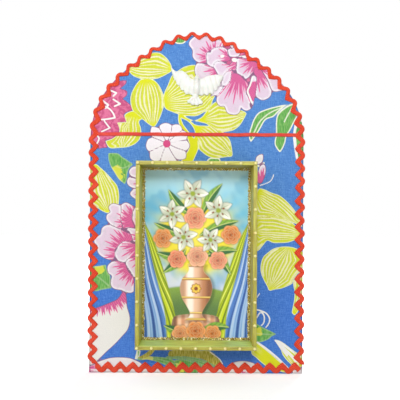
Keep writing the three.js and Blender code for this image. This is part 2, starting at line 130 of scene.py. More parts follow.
# Green leaf: outline, midrib, and where its yellow patch lies, as a centre and a radius. A
# radius of 1 stands for a leaf without a patch
GREEN_LEAVES = (
    ((-20, 262, -19, 260.3, -15, 258.8, -10.5, 259.5, -9, 262, -14, 266), (-21, 264, -9, 264),
     (0, 0), 1),
    ((75, 212.5, 68, 211.5, 60, 209.7, 53, 207.5, 48, 205, 44.5, 200, 42.5, 194.5, 41, 189,
     41, 184.5, 42.5, 182, 47, 188, 50, 193, 54, 199.5, 60, 202, 64, 206, 70, 211), (70, 210.5,
     58, 205.5, 50, 199, 46, 192, 43.5, 186), (0, 0), 1),
    ((76, 213, 70, 210, 65, 206, 62.5, 202, 62, 195, 62, 188, 61, 181, 63, 176.5, 65.3, 174,
     67.5, 177, 69.5, 182, 70.5, 187, 73, 191, 76.5, 198, 79, 204, 77, 207, 76.5, 210), (75, 210,
     71, 203, 68.5, 198), (0, 0), 1),
    ((75.5, 186, 76.5, 180, 77.5, 174, 78, 169, 79.5, 168, 90, 170, 90, 200, 80, 199, 78.5, 196.5),
     (77, 190, 78.6, 170), (0, 0), 1),
    ((7, 166, 10, 169.3, 14, 169.5, 18, 169, 18.5, 165, 12, 163), (8, 164, 17, 164), (0, 0), 1),
    ((-69.5, 172.5, -62, 172.5, -59, 170, -55, 167.5, -50, 164, -53, 161, -54.5, 157, -55, 152,
     -56.5, 148.2, -61, 152, -65, 158, -68, 163, -69.5, 168), (-50, 165, -58, 161, -64, 163),
     (-66, 155), 12),
    ((-81, 83.5, -76, 84, -71, 85, -70.5, 82, -69, 78.5, -67.5, 76, -67.3, 70, -66.5, 66.5, -70, 66,
     -75, 65, -79, 64, -84, 66, -90, 72, -90, 82), (-67, 67, -74, 73, -83, 80), (-76, 81), 5.5),
    ((47, 39.5, 50, 38, 54, 35.8, 59, 33.5, 63.7, 31, 60, 29.5, 57, 27, 53, 25.3, 49, 24.5, 43, 25,
     43, 39), (64, 31, 55, 31, 45, 32), (49, 33), 5),
    ((-46, 19, -43.5, 17.5, -45, 11.5, -48, 10.5), (-46, 19, -46, 11), (0, 0), 1),
    ((-24, 13.2, -17, 13.8, -8, 13.2, 0, 12.5, 6, 10.5, 14, 7.5, 17, 5.5, 10, 5, 0, 8.5, -8, 11,
     -16, 11, -21, 11.5), (-22, 12.4, -8, 12, 5, 9, 16, 5.6), (-12, 16), 4),
    ((-47, 11, -41, 13.2, -34, 13, -27, 12.6, -20, 11.5, -14, 8, -17, 4, -24, 6.5, -31, 9,
     -38, 10.6, -44, 10), (-46, 11, -30, 11, -16, 7), (-38, 12), 7),
    ((-16, 10, -10, 11, -4, 9.6, 2, 7.4, 8, 4.4, 9, -2, -19, -2, -20, 6), (-20, 9, -8, 5, 6, 2),
     (-12, 4), 7),
    ((47, 163.5, 50, 165, 53.5, 167, 53, 164.5, 50, 162), (47, 163, 53, 166), (0, 0), 1),
)

# Olive leaves of the lower edge
OLIVE_LEAVES = (
    (-46, 12, -40, 15, -35, 18.5, -32, 18, -36, 13.5, -42, 11.5),
    (-22, 14, -20, 17.5, -8, 18, 4, 17.7, 11, 17.5, 15, 15, 18, 12, 21, 8, 21.5, 5.5, 17, 6, 12, 8,
     4, 11.5, -6, 13, -14, 13.5, -19, 13),
)

# Rose pink: the flower that the left edge cuts, and what shows between the petals of the
# peony and of the large flower on the left
ROSE = (
    (-63, 230, -58, 230, -55.5, 230, -56, 227.5, -58.5, 225, -60.5, 223.5, -57, 222.5, -55, 221,
     -55.5, 218, -58.5, 215.5, -55, 213, -51.5, 209.5, -51, 206.5, -56, 204.5, -57.5, 202,
     -55.5, 200, -56, 197, -61, 196.8, -61, 191, -62, 188, -66, 184.5, -72, 182.3, -70, 177,
     -75, 176.5, -77.5, 176, -79, 180, -96, 180, -96, 215, -76, 238),
    (13, 264, 26, 260.5, 36, 254, 47, 246.5, 53, 238, 59, 228, 56, 224, 52, 228, 46, 222, 43.5, 212,
     39, 222, 30, 232, 22, 228, 12, 238, 11, 246, 14, 254),
    (-60, 127, -54, 131, -46, 128, -44, 112, -44, 94, -52, 94, -58, 100, -60, 110, -58, 118),
)

# Petal: outline, heart that its streaks start from, radius that is solid hot pink, radius
# that the longest streaks reach, and its ground: from 0 for pink white to 1 for cream, or -1
# for white
PETALS = (
    # Peony
    ((34, 248, 36, 250.5, 41, 249, 46, 246, 43, 244, 38, 246), (44, 240), 3, 8, 0),
    ((-7, 258.5, -5.5, 262.5, 0, 266, 6, 267, 12, 265, 19, 262, 20, 257, 14, 256, 10, 254, 7.5, 252,
     7, 249, 7.5, 245, 3, 243.8, -1.5, 245.5, -4, 249, -4.2, 254), (13, 248), 6.5, 14.5, 0),
    ((12, 265, 19, 262, 25, 258, 27, 255, 30, 262, 20, 268), (22, 252), 1, 5, 0),
    ((6.8, 251, 8, 252.5, 10, 252.5, 11, 254.5, 15, 256.5, 20, 256.5, 23.5, 254.5, 23.8, 250.5,
     25.5, 248.5, 26, 246.5, 22, 245.2, 16, 245.3, 13.5, 243.5, 12.5, 240.5, 9, 242, 7, 245),
     (27, 248), 4.5, 12.5, 0),
    ((24, 254.5, 27, 255.8, 31, 255.4, 33.5, 252.8, 32.8, 250, 30, 248.8, 26, 249, 24.5, 250.5),
     (30, 240), 2, 4, 0),
    ((13, 240, 12.8, 243, 15, 245.3, 19, 245.3, 22, 244, 25, 243, 28, 246, 31, 247, 30.5, 243,
     30, 239, 27, 237, 24.5, 236, 22, 232, 20, 229, 18.5, 226.5, 15.5, 236), (32, 243.5), 3, 13, 0),
    ((-2, 241, 0, 243.8, 5, 243.5, 10, 241.5, 13.5, 239.5, 15, 236, 17, 232, 19, 227, 15, 224,
     11, 221, 6, 226, 0, 232, -2, 236), (18, 239), 5, 14, 0.2),
    ((44, 240, 46, 228, 45.5, 220, 47, 217, 50.5, 215, 54, 215.5, 57.5, 218, 58.5, 221.5, 57, 226,
     55, 231, 52, 236, 48, 241), (46, 239), 8.5, 18, 0),
    ((48, 243, 52, 236, 56, 229, 59, 222.5, 62, 221.7, 66, 222.5, 74, 223, 68, 232, 60, 238,
     54, 243), (47, 241), 2, 15, 0),
    ((31, 247, 31, 243, 30.5, 239.5, 31, 236.5, 33, 235, 36, 233.5, 37.5, 231.5, 40, 232.5, 42, 235,
     44, 237, 46, 240, 49, 240.5, 47, 244, 44, 247, 39, 249, 34, 248.5), (46, 246), 6, 14.5, 0),
    ((25.5, 236, 28, 236.5, 33, 235, 37, 231, 40, 228.5, 39, 224, 38.3, 221, 40, 218, 42, 215,
     41.5, 211, 42.5, 208.5, 39, 206.5, 36, 207.5, 34.5, 209, 33.5, 205.5, 31, 203.5, 27, 203.5,
     23.5, 205, 22, 208.5, 21, 210, 18, 210, 15.5, 212.5, 15, 216, 17, 220, 19, 223, 20, 225.5,
     24, 228, 26, 231), (33, 239), 12, 27, 0),
    ((43, 234, 41, 228, 40.3, 226, 38.5, 222, 40, 218, 42, 215, 43, 210, 44, 210.5, 45, 216,
     46, 221, 47, 228, 48, 235), (46, 222), 7.5, 8.5, 0),
    ((19.4, 236.3, 26, 240.2, 28.6, 238.3, 27.6, 233.7, 25.7, 230.4, 22.7, 226.5, 18.5, 226.3,
     18, 231), (28.5, 241), 2, 7.5, 0),
    ((18.5, 226, 22.4, 225.8, 18.8, 222.5, 15.5, 218.9, 9.6, 217.9, 11.6, 219.9, 14.8, 223.2),
     (60, 240), 1, 2, 0),
    # Daisy
    ((-23.7, 179.9, -29.2, 183.9, -37.2, 184.8, -39.9, 180.9, -39.9, 176.9, -37.5, 174.3,
     -30.7, 176.7), (-60, 180), 1, 2, -1),
    ((-23.7, 180.9, -25.7, 185.9, -29.7, 192.4, -35.7, 193.9, -36.7, 187.9, -31.7, 183.4),
     (-60, 180), 1, 2, -1),
    ((-23.7, 180.9, -20.2, 187.9, -19.7, 194.4, -24.7, 196.9, -29.7, 194.4, -27.7, 187.9),
     (-60, 180), 1, 2, -1),
    ((-23.7, 180.9, -16.7, 185.4, -11.7, 190.9, -13.7, 195.4, -19.2, 194.9, -21.7, 187.9),
     (-60, 180), 1, 2, -1),
    ((-23.7, 180.9, -15.7, 180.9, -8.7, 183.4, -7.2, 188.9, -12.7, 190.9, -18.7, 186.9), (-60, 180),
     1, 2, -1),
    ((-23.7, 180.9, -15.7, 176.4, -8.7, 174.9, -5.5, 178.9, -8.7, 183.4, -16.7, 182.9), (-60, 180),
     1, 2, -1),
    ((-23.7, 180.9, -20.7, 173.4, -15.2, 167.9, -8.7, 168.9, -9.2, 174.9, -16.7, 177.9), (-60, 180),
     1, 2, -1),
    ((-23.7, 180.9, -27.7, 172.9, -27.7, 165.9, -20.7, 162.9, -15.7, 165.9, -19.2, 173.9),
     (-60, 180), 1, 2, -1),
    ((-23.7, 180.9, -30.2, 177.9, -36.7, 173.9, -36.2, 167.9, -29.7, 166.9, -25.7, 173.9),
     (-60, 180), 1, 2, -1),
    # Small flower that the box half hides
    ((-53.5, 158, -52, 161, -49, 162.5, -44, 161, -44, 153, -50, 154, -52.5, 155.5), (-40, 152),
     4, 9, 0),
    ((-54.5, 152.5, -53, 154, -50, 153.2, -44, 151.5, -44, 145.5, -50, 145.3, -54, 147.5, -55, 150),
     (-40, 148), 4, 10, 0),
    ((-52.5, 141, -51, 143.5, -48, 145, -44, 144, -44, 134, -49, 137, -51.5, 139), (-40, 142),
     4, 9, 0),
    # Large flower on the left
    ((-69, 131, -66, 133.2, -62, 132.5, -59.5, 131, -58, 125, -57, 118, -58, 114, -61, 113.5,
     -66, 115.5, -69, 118, -71, 121, -70.5, 124.5, -68, 126.5, -69, 128.5), (-44, 116),
     13.5, 21, 0),
    ((-59.5, 131, -58.5, 133, -55, 134, -51, 132, -48.5, 130, -48, 115, -52, 113.5, -56, 113,
     -60, 116, -62, 121, -60.5, 127), (-44, 116), 13, 20, 0),
    ((-51, 129, -53.5, 124, -53.5, 119, -50, 115.5, -44, 113, -44, 131), (-46, 110), 6, 14, 0),
    ((-56.5, 113.5, -54, 115.5, -50, 114, -44, 112, -44, 104, -49, 103, -51.5, 107, -52, 110),
     (-42, 106), 5, 10, 0),
    ((-75.5, 109, -74.5, 113.5, -71, 116.2, -66, 115.8, -60, 113, -54, 110.2, -50.5, 108,
     -50.5, 104, -57, 103, -61, 100, -64, 96.5, -64, 92, -65, 89.3, -68.5, 88.8, -73, 90.5,
     -76.5, 93, -78, 96, -78, 99.5, -80.5, 102.5, -80, 106, -77, 108), (-47, 93), 17.5, 27, 0),
    ((-61, 101, -58, 103.5, -54, 104, -50, 102, -44, 100, -44, 92, -50, 90, -54, 88.5, -57, 86.7,
     -60, 87.3, -63, 90, -64, 94, -62.5, 97.5), (-43, 101), 8, 18, 0),
    ((-44, 93, -50, 92.5, -53.5, 90.5, -55.5, 86.5, -53.5, 82, -51, 78.5, -49, 75.5, -44, 75),
     (-40, 92), 6, 14, 0),
    ((-70, 81, -69.5, 84.5, -67, 87, -64, 88, -59, 87.5, -56, 86, -54, 81, -51, 77, -49.5, 75,
     -48.5, 72, -48.8, 66, -49, 63.8, -52, 62.7, -55.5, 63.5, -58.5, 64.8, -64, 65.8, -66.8, 68,
     -67.3, 72.5, -66.5, 76, -69, 78), (-46, 86), 12.5, 20, 0),
    # Long cream petal and the strips along the lower edge
    ((-58.5, 62.5, -57.5, 63.5, -55.5, 62.5, -54.5, 58, -54, 52, -52, 45, -51.8, 40, -53.5, 34,
     -57.5, 29, -63.5, 22.5, -70, 16.5, -74, 12.5, -77.5, 9.3, -81, 6.5, -90, 5, -90, 30, -88, 47,
     -79, 50.8, -74, 52.5, -68, 55, -62.5, 57.5, -60, 60), (-77, 84), 33.5, 40, 1),
    ((-77, 8.5, -72, 10.5, -66, 12, -58, 12.3, -52, 11.8, -47, 10, -43, 8, -41, 5, -40, -4, -96, -4,
     -90, 4, -81, 5.8), (-91, 3), 6, 17, 0.7),
    ((28, 8, 32, 9.5, 38, 10, 44, 9, 49, 6.5, 53, 3, 53, -4, 23, -4, 26, 5), (38, -6), 5, 9, 0.9),
    ((-47, 4.5, -40, 5.2, -32, 5, -24, 4.5, -15, 3.5, -13, -3, -47, -3), (0, 60), 1, 2, 0.8),
    ((2, 4.6, 8, 4.8, 14, 4.6, 20, 4.8, 26, 4, 26, -3, 2, -3), (0, 60), 1, 2, 0.8),
    ((77, 4.5, 80, 5.5, 84, 4.5, 86, -3, 76, -3, 76, 1), (0, 60), 1, 2, 0.6),
    # Bud and loose petal beside the box
    ((48, 150, 47.5, 155, 48.5, 160, 50, 163.5, 53, 165, 54.3, 162, 54, 157, 52.5, 152.5,
     50.5, 149.5), (51, 148), 8, 14, 0),
    ((44, 165, 46, 167.5, 46.5, 170, 49, 172.3, 52, 172.8, 52.3, 169, 51, 166, 48, 164.5),
     (60, 200), 1, 2, 0.6),
)

# Thin strokes of white: line and width
STROKES = (
    ((62.6, 26, 67, 24.4, 72, 20.6, 77, 17), 1.5),
    ((64.5, 24.5, 69, 20, 74, 15.5, 79, 10), 2.2),
    ((66, 22, 69.5, 17.5, 72, 14.5), 1.6),
    ((11, 17, 14.6, 14.4, 18.5, 11.5, 20.9, 8, 21.7, 5), 0.8),
    ((-73, 209.5, -69, 207.5, -66, 204, -64.5, 200.5, -70, 199.5, -75, 199), 1.3),
    ((-73, 198, -69.5, 193.5, -68.5, 192.5, -75, 189.5), 1.2),
    ((-74, 213.5, -70, 210.5, -72, 208), 1.5),
    ((-66, 215, -60.5, 211.5, -65, 209.5), 1.3),
    ((-68.5, 222, -63.5, 220, -66, 217.5), 1.3),
    ((-78.5, 186.5, -77, 184, -79, 179.5), 1.2),
    ((43.5, 233, 41.6, 227, 39.6, 222, 41, 218, 43, 213), 1.4),
    ((78, 198, 76.6, 188, 77.4, 178, 79, 169), 2),
    ((50, 148, 55, 149.8, 58.5, 152, 60.5, 156.5), 1),
    ((47.5, 50.3, 51, 49.5, 55.5, 47.3, 58, 43, 57, 39, 55, 36.3), 1.1),
    ((48, 44, 50, 47.5, 52, 48, 53.8, 44.5, 53.3, 40, 51.5, 37.8), 1.1),
    ((47.5, 59.5, 50, 63), 1),
    ((48.5, 24.5, 55, 20, 63, 13.6, 70, 7, 75, 2), 1.5),
    ((19, 249.2, 20, 249.6), 2.4),
    ((28.6, 246.6, 29.8, 246.4), 3.2),
    ((32.6, 249.2, 37, 249.6, 40.4, 249.3), 0.9),
)

DAISY_HEART, DAISY_HEART_RADIUS = (-23.7, 180.3), 3.0
MOTIF_MARGIN = 3.0  # how far outside a motif its edge distance is still worked out
STRIPE_SPACING = 3.3  # of the lime leaves, at their widest
LEAF_OPENING = 2.0  # the depth below which their stripes run out over the edge
STREAK_SPACING = 1.9  # of the petals' streaks, halfway along
PETAL_BRIDGE = 1.1  # half the widest gap that closes between two petals


# Lines, distances and meshes


def smooth_line(points, closed=True, steps=6):
    """A smooth line through given points: cubic Hermite spans whose direction at a point is that
    from its neighbour before to its neighbour after, brought to nothing where the line turns
    sharply, so that tips and notches stay crisp."""
    spots = np.reshape(points, (-1, 2)).astype(float)
    before, after = np.roll(spots, 1, axis=0), np.roll(spots, -1, axis=0)
    if not closed:
        before[0], after[-1] = spots[0], spots[-1]
    coming, going = spots - before, after - spots
    bend = (coming * going).sum(1) / (np.hypot(*coming.T) * np.hypot(*going.T) + 1e-9)
    across = after - before
    heading = across / (np.hypot(*across.T)[:, None] + 1e-9)
    heading = heading * np.clip((bend + 0.15) / 0.5, 0, 1)[:, None]
    length = np.hypot(*going.T)[:, None, None]
    t = np.linspace(0, 1, steps, endpoint=False)[None, :, None]
    start, end = spots[:, None], after[:, None]
    leave, arrive = heading[:, None] * length, np.roll(heading, -1, axis=0)[:, None] * length
    line = ((2 * t**3 - 3 * t**2 + 1) * start + (t**3 - 2 * t**2 + t) * leave
            + (3 * t**2 - 2 * t**3) * end + (t**3 - t**2) * arrive)
    if closed:
        return line.reshape(-1, 2)
    return np.vstack([line[:-1].reshape(-1, 2), spots[-1:]])


def edge_distance(at, line, closed=True):
    """How deep each point lies inside a closed line, negative outside it: its distance from the
    nearest stretch, with the side found by counting crossings. For an open line, minus the
    distance."""
    start = line if closed else line[:-1]
    end = np.roll(line, -1, axis=0) if closed else line[1:]
    step = end - start
    away = at[:, None] - start
    share = np.clip((away * step).sum(2) / np.maximum((step * step).sum(1), 1e-12), 0, 1)
    gap = away - share[..., None] * step
    near = np.hypot(gap[..., 0], gap[..., 1]).min(1)
    if not closed:
        return -near
    level = at[:, None, 1]
    spans = (start[:, 1] <= level) != (end[:, 1] <= level)
    rise = np.where(step[:, 1] == 0, 1e-12, step[:, 1])
    beyond = at[:, None, 0] < start[:, 0] + (level - start[:, 1]) * step[:, 0] / rise
    inside = (spans & beyond).sum(1) % 2 == 1
    return np.where(inside, near, -near)


def nearby(at, line, margin):
    """The numbers of the points that lie in the line's bounding box, widened by margin."""
    low, high = line.min(0) - margin, line.max(0) + margin
    return np.flatnonzero(((at > low) & (at < high)).all(1))


def resample(line, count):
    """The line as count points, evenly spaced along it."""
    run = np.concatenate([[0], np.cumsum(np.hypot(*np.diff(line, axis=0).T))])
    spots = np.linspace(0, run[-1], count)
    return np.stack([np.interp(spots, run, line[:, i]) for i in range(2)], axis=1)


def grid_faces(rows, columns, closed_rows=False, closed_columns=False, first=0):
    """Four-cornered faces between neighbours of a grid of points stored row by row."""
    row = np.arange(rows if closed_rows else rows - 1)
    column = np.arange(columns if closed_columns else columns - 1)
    r, c = np.meshgrid(row, column, indexing="ij")
    after_r, after_c = (r + 1) % rows, (c + 1) % columns
    faces = np.stack([r * columns + c, after_r * columns + c,
                      after_r * columns + after_c, r * columns + after_c], axis=-1)
    return first + faces.reshape(-1, 4)


def fan_faces(ring, middle):
    """Triangles from each step of a closed ring of point numbers to one middle point."""
    return np.stack([ring, np.roll(ring, -1), np.full(len(ring), middle)], axis=1)


def band_faces(ring, after):
    """Four-cornered faces between two closed rings of point numbers."""
    return np.stack([ring, np.roll(ring, -1), np.roll(after, -1), after], axis=1)


def tube_faces(rows, sides):
    """Faces of a tube of points stored ring by ring, closed by the two points after them."""
    return [grid_faces(rows, sides, closed_columns=True),
            fan_faces(np.arange(sides), rows * sides)[:, ::-1],
            fan_faces(np.arange(sides) + (rows - 1) * sides, rows * sides + 1)]


def rim_numbers(rows, columns):
    """The point numbers round a grid: first row, last column, last row and first column."""
    across, up = np.arange(columns - 1), np.arange(rows - 1)
    return np.concatenate([across, up * columns + columns - 1, rows * columns - 1 - across,
                           (rows - 1 - up) * columns])


def enclosed(points, faces):
    """The volume within a closed surface: the sum of the tetrahedra from the origin."""
    total = 0.0
    for face in faces:
        for i in range(1, face.shape[1] - 1):
            a, b, c = points[face[:, 0]], points[face[:, i]], points[face[:, i + 1]]
            total += np.einsum("ij,ij->i", a, np.cross(b, c)).sum() / 6
    return total


def make_piece(name, points, faces, material, body="root", closed=True, smooth=True,
               sharp=None):
    """A piece from points in millimetres and arrays of faces. A closed surface is turned so
    that its faces point outwards."""
    if closed and enclosed(points, faces) < 0:
        faces = [face[:, ::-1] for face in faces]
    mesh = bpy.data.meshes.new(name)
    loops = np.concatenate([face.ravel() for face in faces])
    sizes = np.concatenate([np.full(len(face), face.shape[1]) for face in faces])
    mesh.vertices.add(len(points))
    mesh.vertices.foreach_set("co", (points * MM).astype(np.float32).ravel())
    mesh.loops.add(len(loops))
    mesh.loops.foreach_set("vertex_index", loops.astype(np.int32))
    mesh.polygons.add(len(sizes))
    starts = np.concatenate([[0], np.cumsum(sizes)[:-1]])
    mesh.polygons.foreach_set("loop_start", starts.astype(np.int32))
    mesh.update(calc_edges=True)
    mesh.polygons.foreach_set("use_smooth", np.full(len(sizes), smooth))
    if sharp is not None:
        mesh.set_sharp_from_angle(angle=sharp)
    mesh.materials.append(material)
    piece = bpy.data.objects.new(name, mesh)
    bpy.context.scene.collection.objects.link(piece)
    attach(piece, body)
    return piece


def write_attribute(piece, name, values):
    """Four numbers for each point, which the material reads by this name."""
    attribute = piece.data.attributes.new(name, "FLOAT_COLOR", "POINT")
    full = np.zeros((len(values), 4), np.float32)
    full[:, : values.shape[1]] = values
    attribute.data.foreach_set("color", full.ravel())


def apply_modifiers(piece):
    """Puts the modified mesh in the piece's own mesh and takes the modifiers off."""
    graph = bpy.context.evaluated_depsgraph_get()
    graph.update()
    mesh = bpy.data.meshes.new_from_object(piece.evaluated_get(graph))
    piece.modifiers.clear()
    piece.data = mesh


def ripple(seed, count, most_waves, size):
    """A smooth seeded unevenness along count points: the mean of twelve cosines of random
    phase, each with up to most_waves along the line, times twice the size."""
    chance = np.random.default_rng(seed)
    t = np.linspace(0, 1, count)
    waves = chance.uniform(2, most_waves, 12)
    phases = chance.uniform(0, 2 * math.pi, 12)
    return size * np.cos(2 * math.pi * waves[:, None] * t + phases[:, None]).mean(0) * 2


# The board's outline


def arch(angles, inset):
    """Points on the arch at these angles, moved inwards: an ellipse about the middle of the
    spring line whose radius is drawn in between its ends and its crown, a little more towards
    the crown."""
    look = bpy.context.scene.shrine
    spring = look.spring_height / MM
    rise = COVER_HIGH[2] - spring

    def radius(a):
        """The distance from the middle of the spring line at these angles."""
        round_form = HALF_WIDTH * np.cos(a) ** 2 + rise * np.sin(a) ** 2
        lean = 1 + look.haunch_lean * (np.sin(a) ** 2 - 0.5)
        return round_form * (1 - look.haunch_draw * np.sin(2 * a) ** 2 * lean)

    out = np.stack([np.cos(angles), np.sin(angles)], axis=1)
    along = np.stack([-out[:, 1], out[:, 0]], axis=1)
    slope = (radius(angles + 1e-4) - radius(angles - 1e-4)) / 2e-4
    tangent = out * slope[:, None] + along * radius(angles)[:, None]
    normal = np.stack([tangent[:, 1], -tangent[:, 0]], axis=1)
    normal /= np.hypot(*normal.T)[:, None]
    return (np.array([0, spring]) + out * radius(angles)[:, None]
            - normal * np.asarray(inset)[..., None])


SIDE_CELLS, SHOULDER_CELLS, WIDTH_CELLS = 225, 70, 206
SHOULDER_ANGLE = math.radians(40)  # where the sheet's corners lie on the arch


def outline_sides(inset):
    """The outline as four runs of points that keep their order at every inset: bottom from
    left to right, right side upwards, arch from right to left, left side downwards."""
    spring = bpy.context.scene.shrine.spring_height / MM
    half = HALF_WIDTH - inset
    upright = np.linspace(inset, spring, SIDE_CELLS + 1)[:-1]
    shoulder = arch(np.linspace(0, SHOULDER_ANGLE, SHOULDER_CELLS + 1), inset)
    right = np.vstack([np.stack([np.full(len(upright), half), upright], axis=1), shoulder])
    bottom = np.stack([np.linspace(-half, half, WIDTH_CELLS + 1),
                       np.full(WIDTH_CELLS + 1, inset)], axis=1)
    crown = arch(np.linspace(SHOULDER_ANGLE, math.pi - SHOULDER_ANGLE, WIDTH_CELLS + 1), inset)
    left = right * [-1, 1]
    return bottom, right, crown, left[::-1]


def outline_loop(inset):
    """The four runs joined into one closed loop without doubled corners."""
    return np.vstack([run[:-1] for run in outline_sides(inset)])


# Materials


def add(tree, kind, settings, inputs, out=0):
    """Adds one node with its settings. inputs maps a socket to a value, or to the socket that
    feeds it. Gives back one of the node's outputs."""
    node = tree.nodes.new(kind)
    for name, value in settings.items():
        setattr(node, name, value)
    for socket, value in inputs.items():
        if isinstance(value, bpy.types.NodeSocket):
            tree.links.new(value, node.inputs[socket])
        else:
            node.inputs[socket].default_value = value
    return node.outputs[out]


def blank(name, roughness, **sockets):
    """A material with its Principled shader, whose own sockets hold what is the same all over."""
    material = bpy.data.materials.new(name)
    material.use_nodes = True
    tree = material.node_tree
    shader = tree.nodes["Principled BSDF"]
    shader.inputs["Roughness"].default_value = roughness
    for socket, value in sockets.items():
        shader.inputs[socket.replace("_", " ")].default_value = value
    return material, tree, shader


ATTRIBUTE, COORDINATES, MAPPING = "ShaderNodeAttribute", "ShaderNodeTexCoord", "ShaderNodeMapping"
NOISE, WAVES, BUMP = "ShaderNodeTexNoise", "ShaderNodeTexWave", "ShaderNodeBump"
MATHS, RANGE, MIX = "ShaderNodeMath", "ShaderNodeMapRange", "ShaderNodeMix"
SEPARATE = "ShaderNodeSeparateColor"
SUM, TIMES = {"operation": "ADD"}, {"operation": "MULTIPLY"}
TIMES_PLUS, SINE = {"operation": "MULTIPLY_ADD"}, {"operation": "SINE"}
HIGHER = {"operation": "MAXIMUM"}
SMOOTH = {"interpolation_type": "SMOOTHSTEP"}
COLOUR_MIX = {"data_type": "RGBA"}
MULTIPLY_BLEND = {"data_type": "RGBA", "blend_type": "MULTIPLY"}
RESULT = 2  # the colour output of a Mix node
PRINT_EDGE = (-0.08, 0.12)  # mm outside and inside a motif's edge, where the dye fades
SHADE_START_HEIGHT, SHADE_FULL_HEIGHT = 0.16, 0.06  # m above the foot, between which the blue darkens with painted shade
CLOTH_FOOT_SHADE = (0.69, 0.8, 1.04, 1)  # what the painted shade leaves of red, green and blue
THREAD_PITCH = 0.6 * MM  # a little coarser than real, so that the threads show


def tint(tree, under, over, value, start, full, most=1.0):
    """One colour over another, by a share that grows smoothly from nothing to most while the
    value goes from start to full. A colour is a hex code, linear light or a socket."""
    under, over = (linear(ink) if isinstance(ink, str) else ink for ink in (under, over))
    share = add(tree, RANGE, SMOOTH, {"Value": value, "From Min": start, "From Max": full,
                                      "To Max": most})
    return add(tree, MIX, COLOUR_MIX, {0: share, 6: under, 7: over}, RESULT)


def dress(tree, shader, colour, height=None, strength=0.0, relief=0.0):
    """Gives the shader its colour and, where there is a height, a relief in millimetres."""
    tree.links.new(colour, shader.inputs["Base Color"])
    if height:
        bump = add(tree, BUMP, {}, {"Strength": strength, "Distance": relief * MM,
                                    "Height": height})
        tree.links.new(bump, shader.inputs["Normal"])


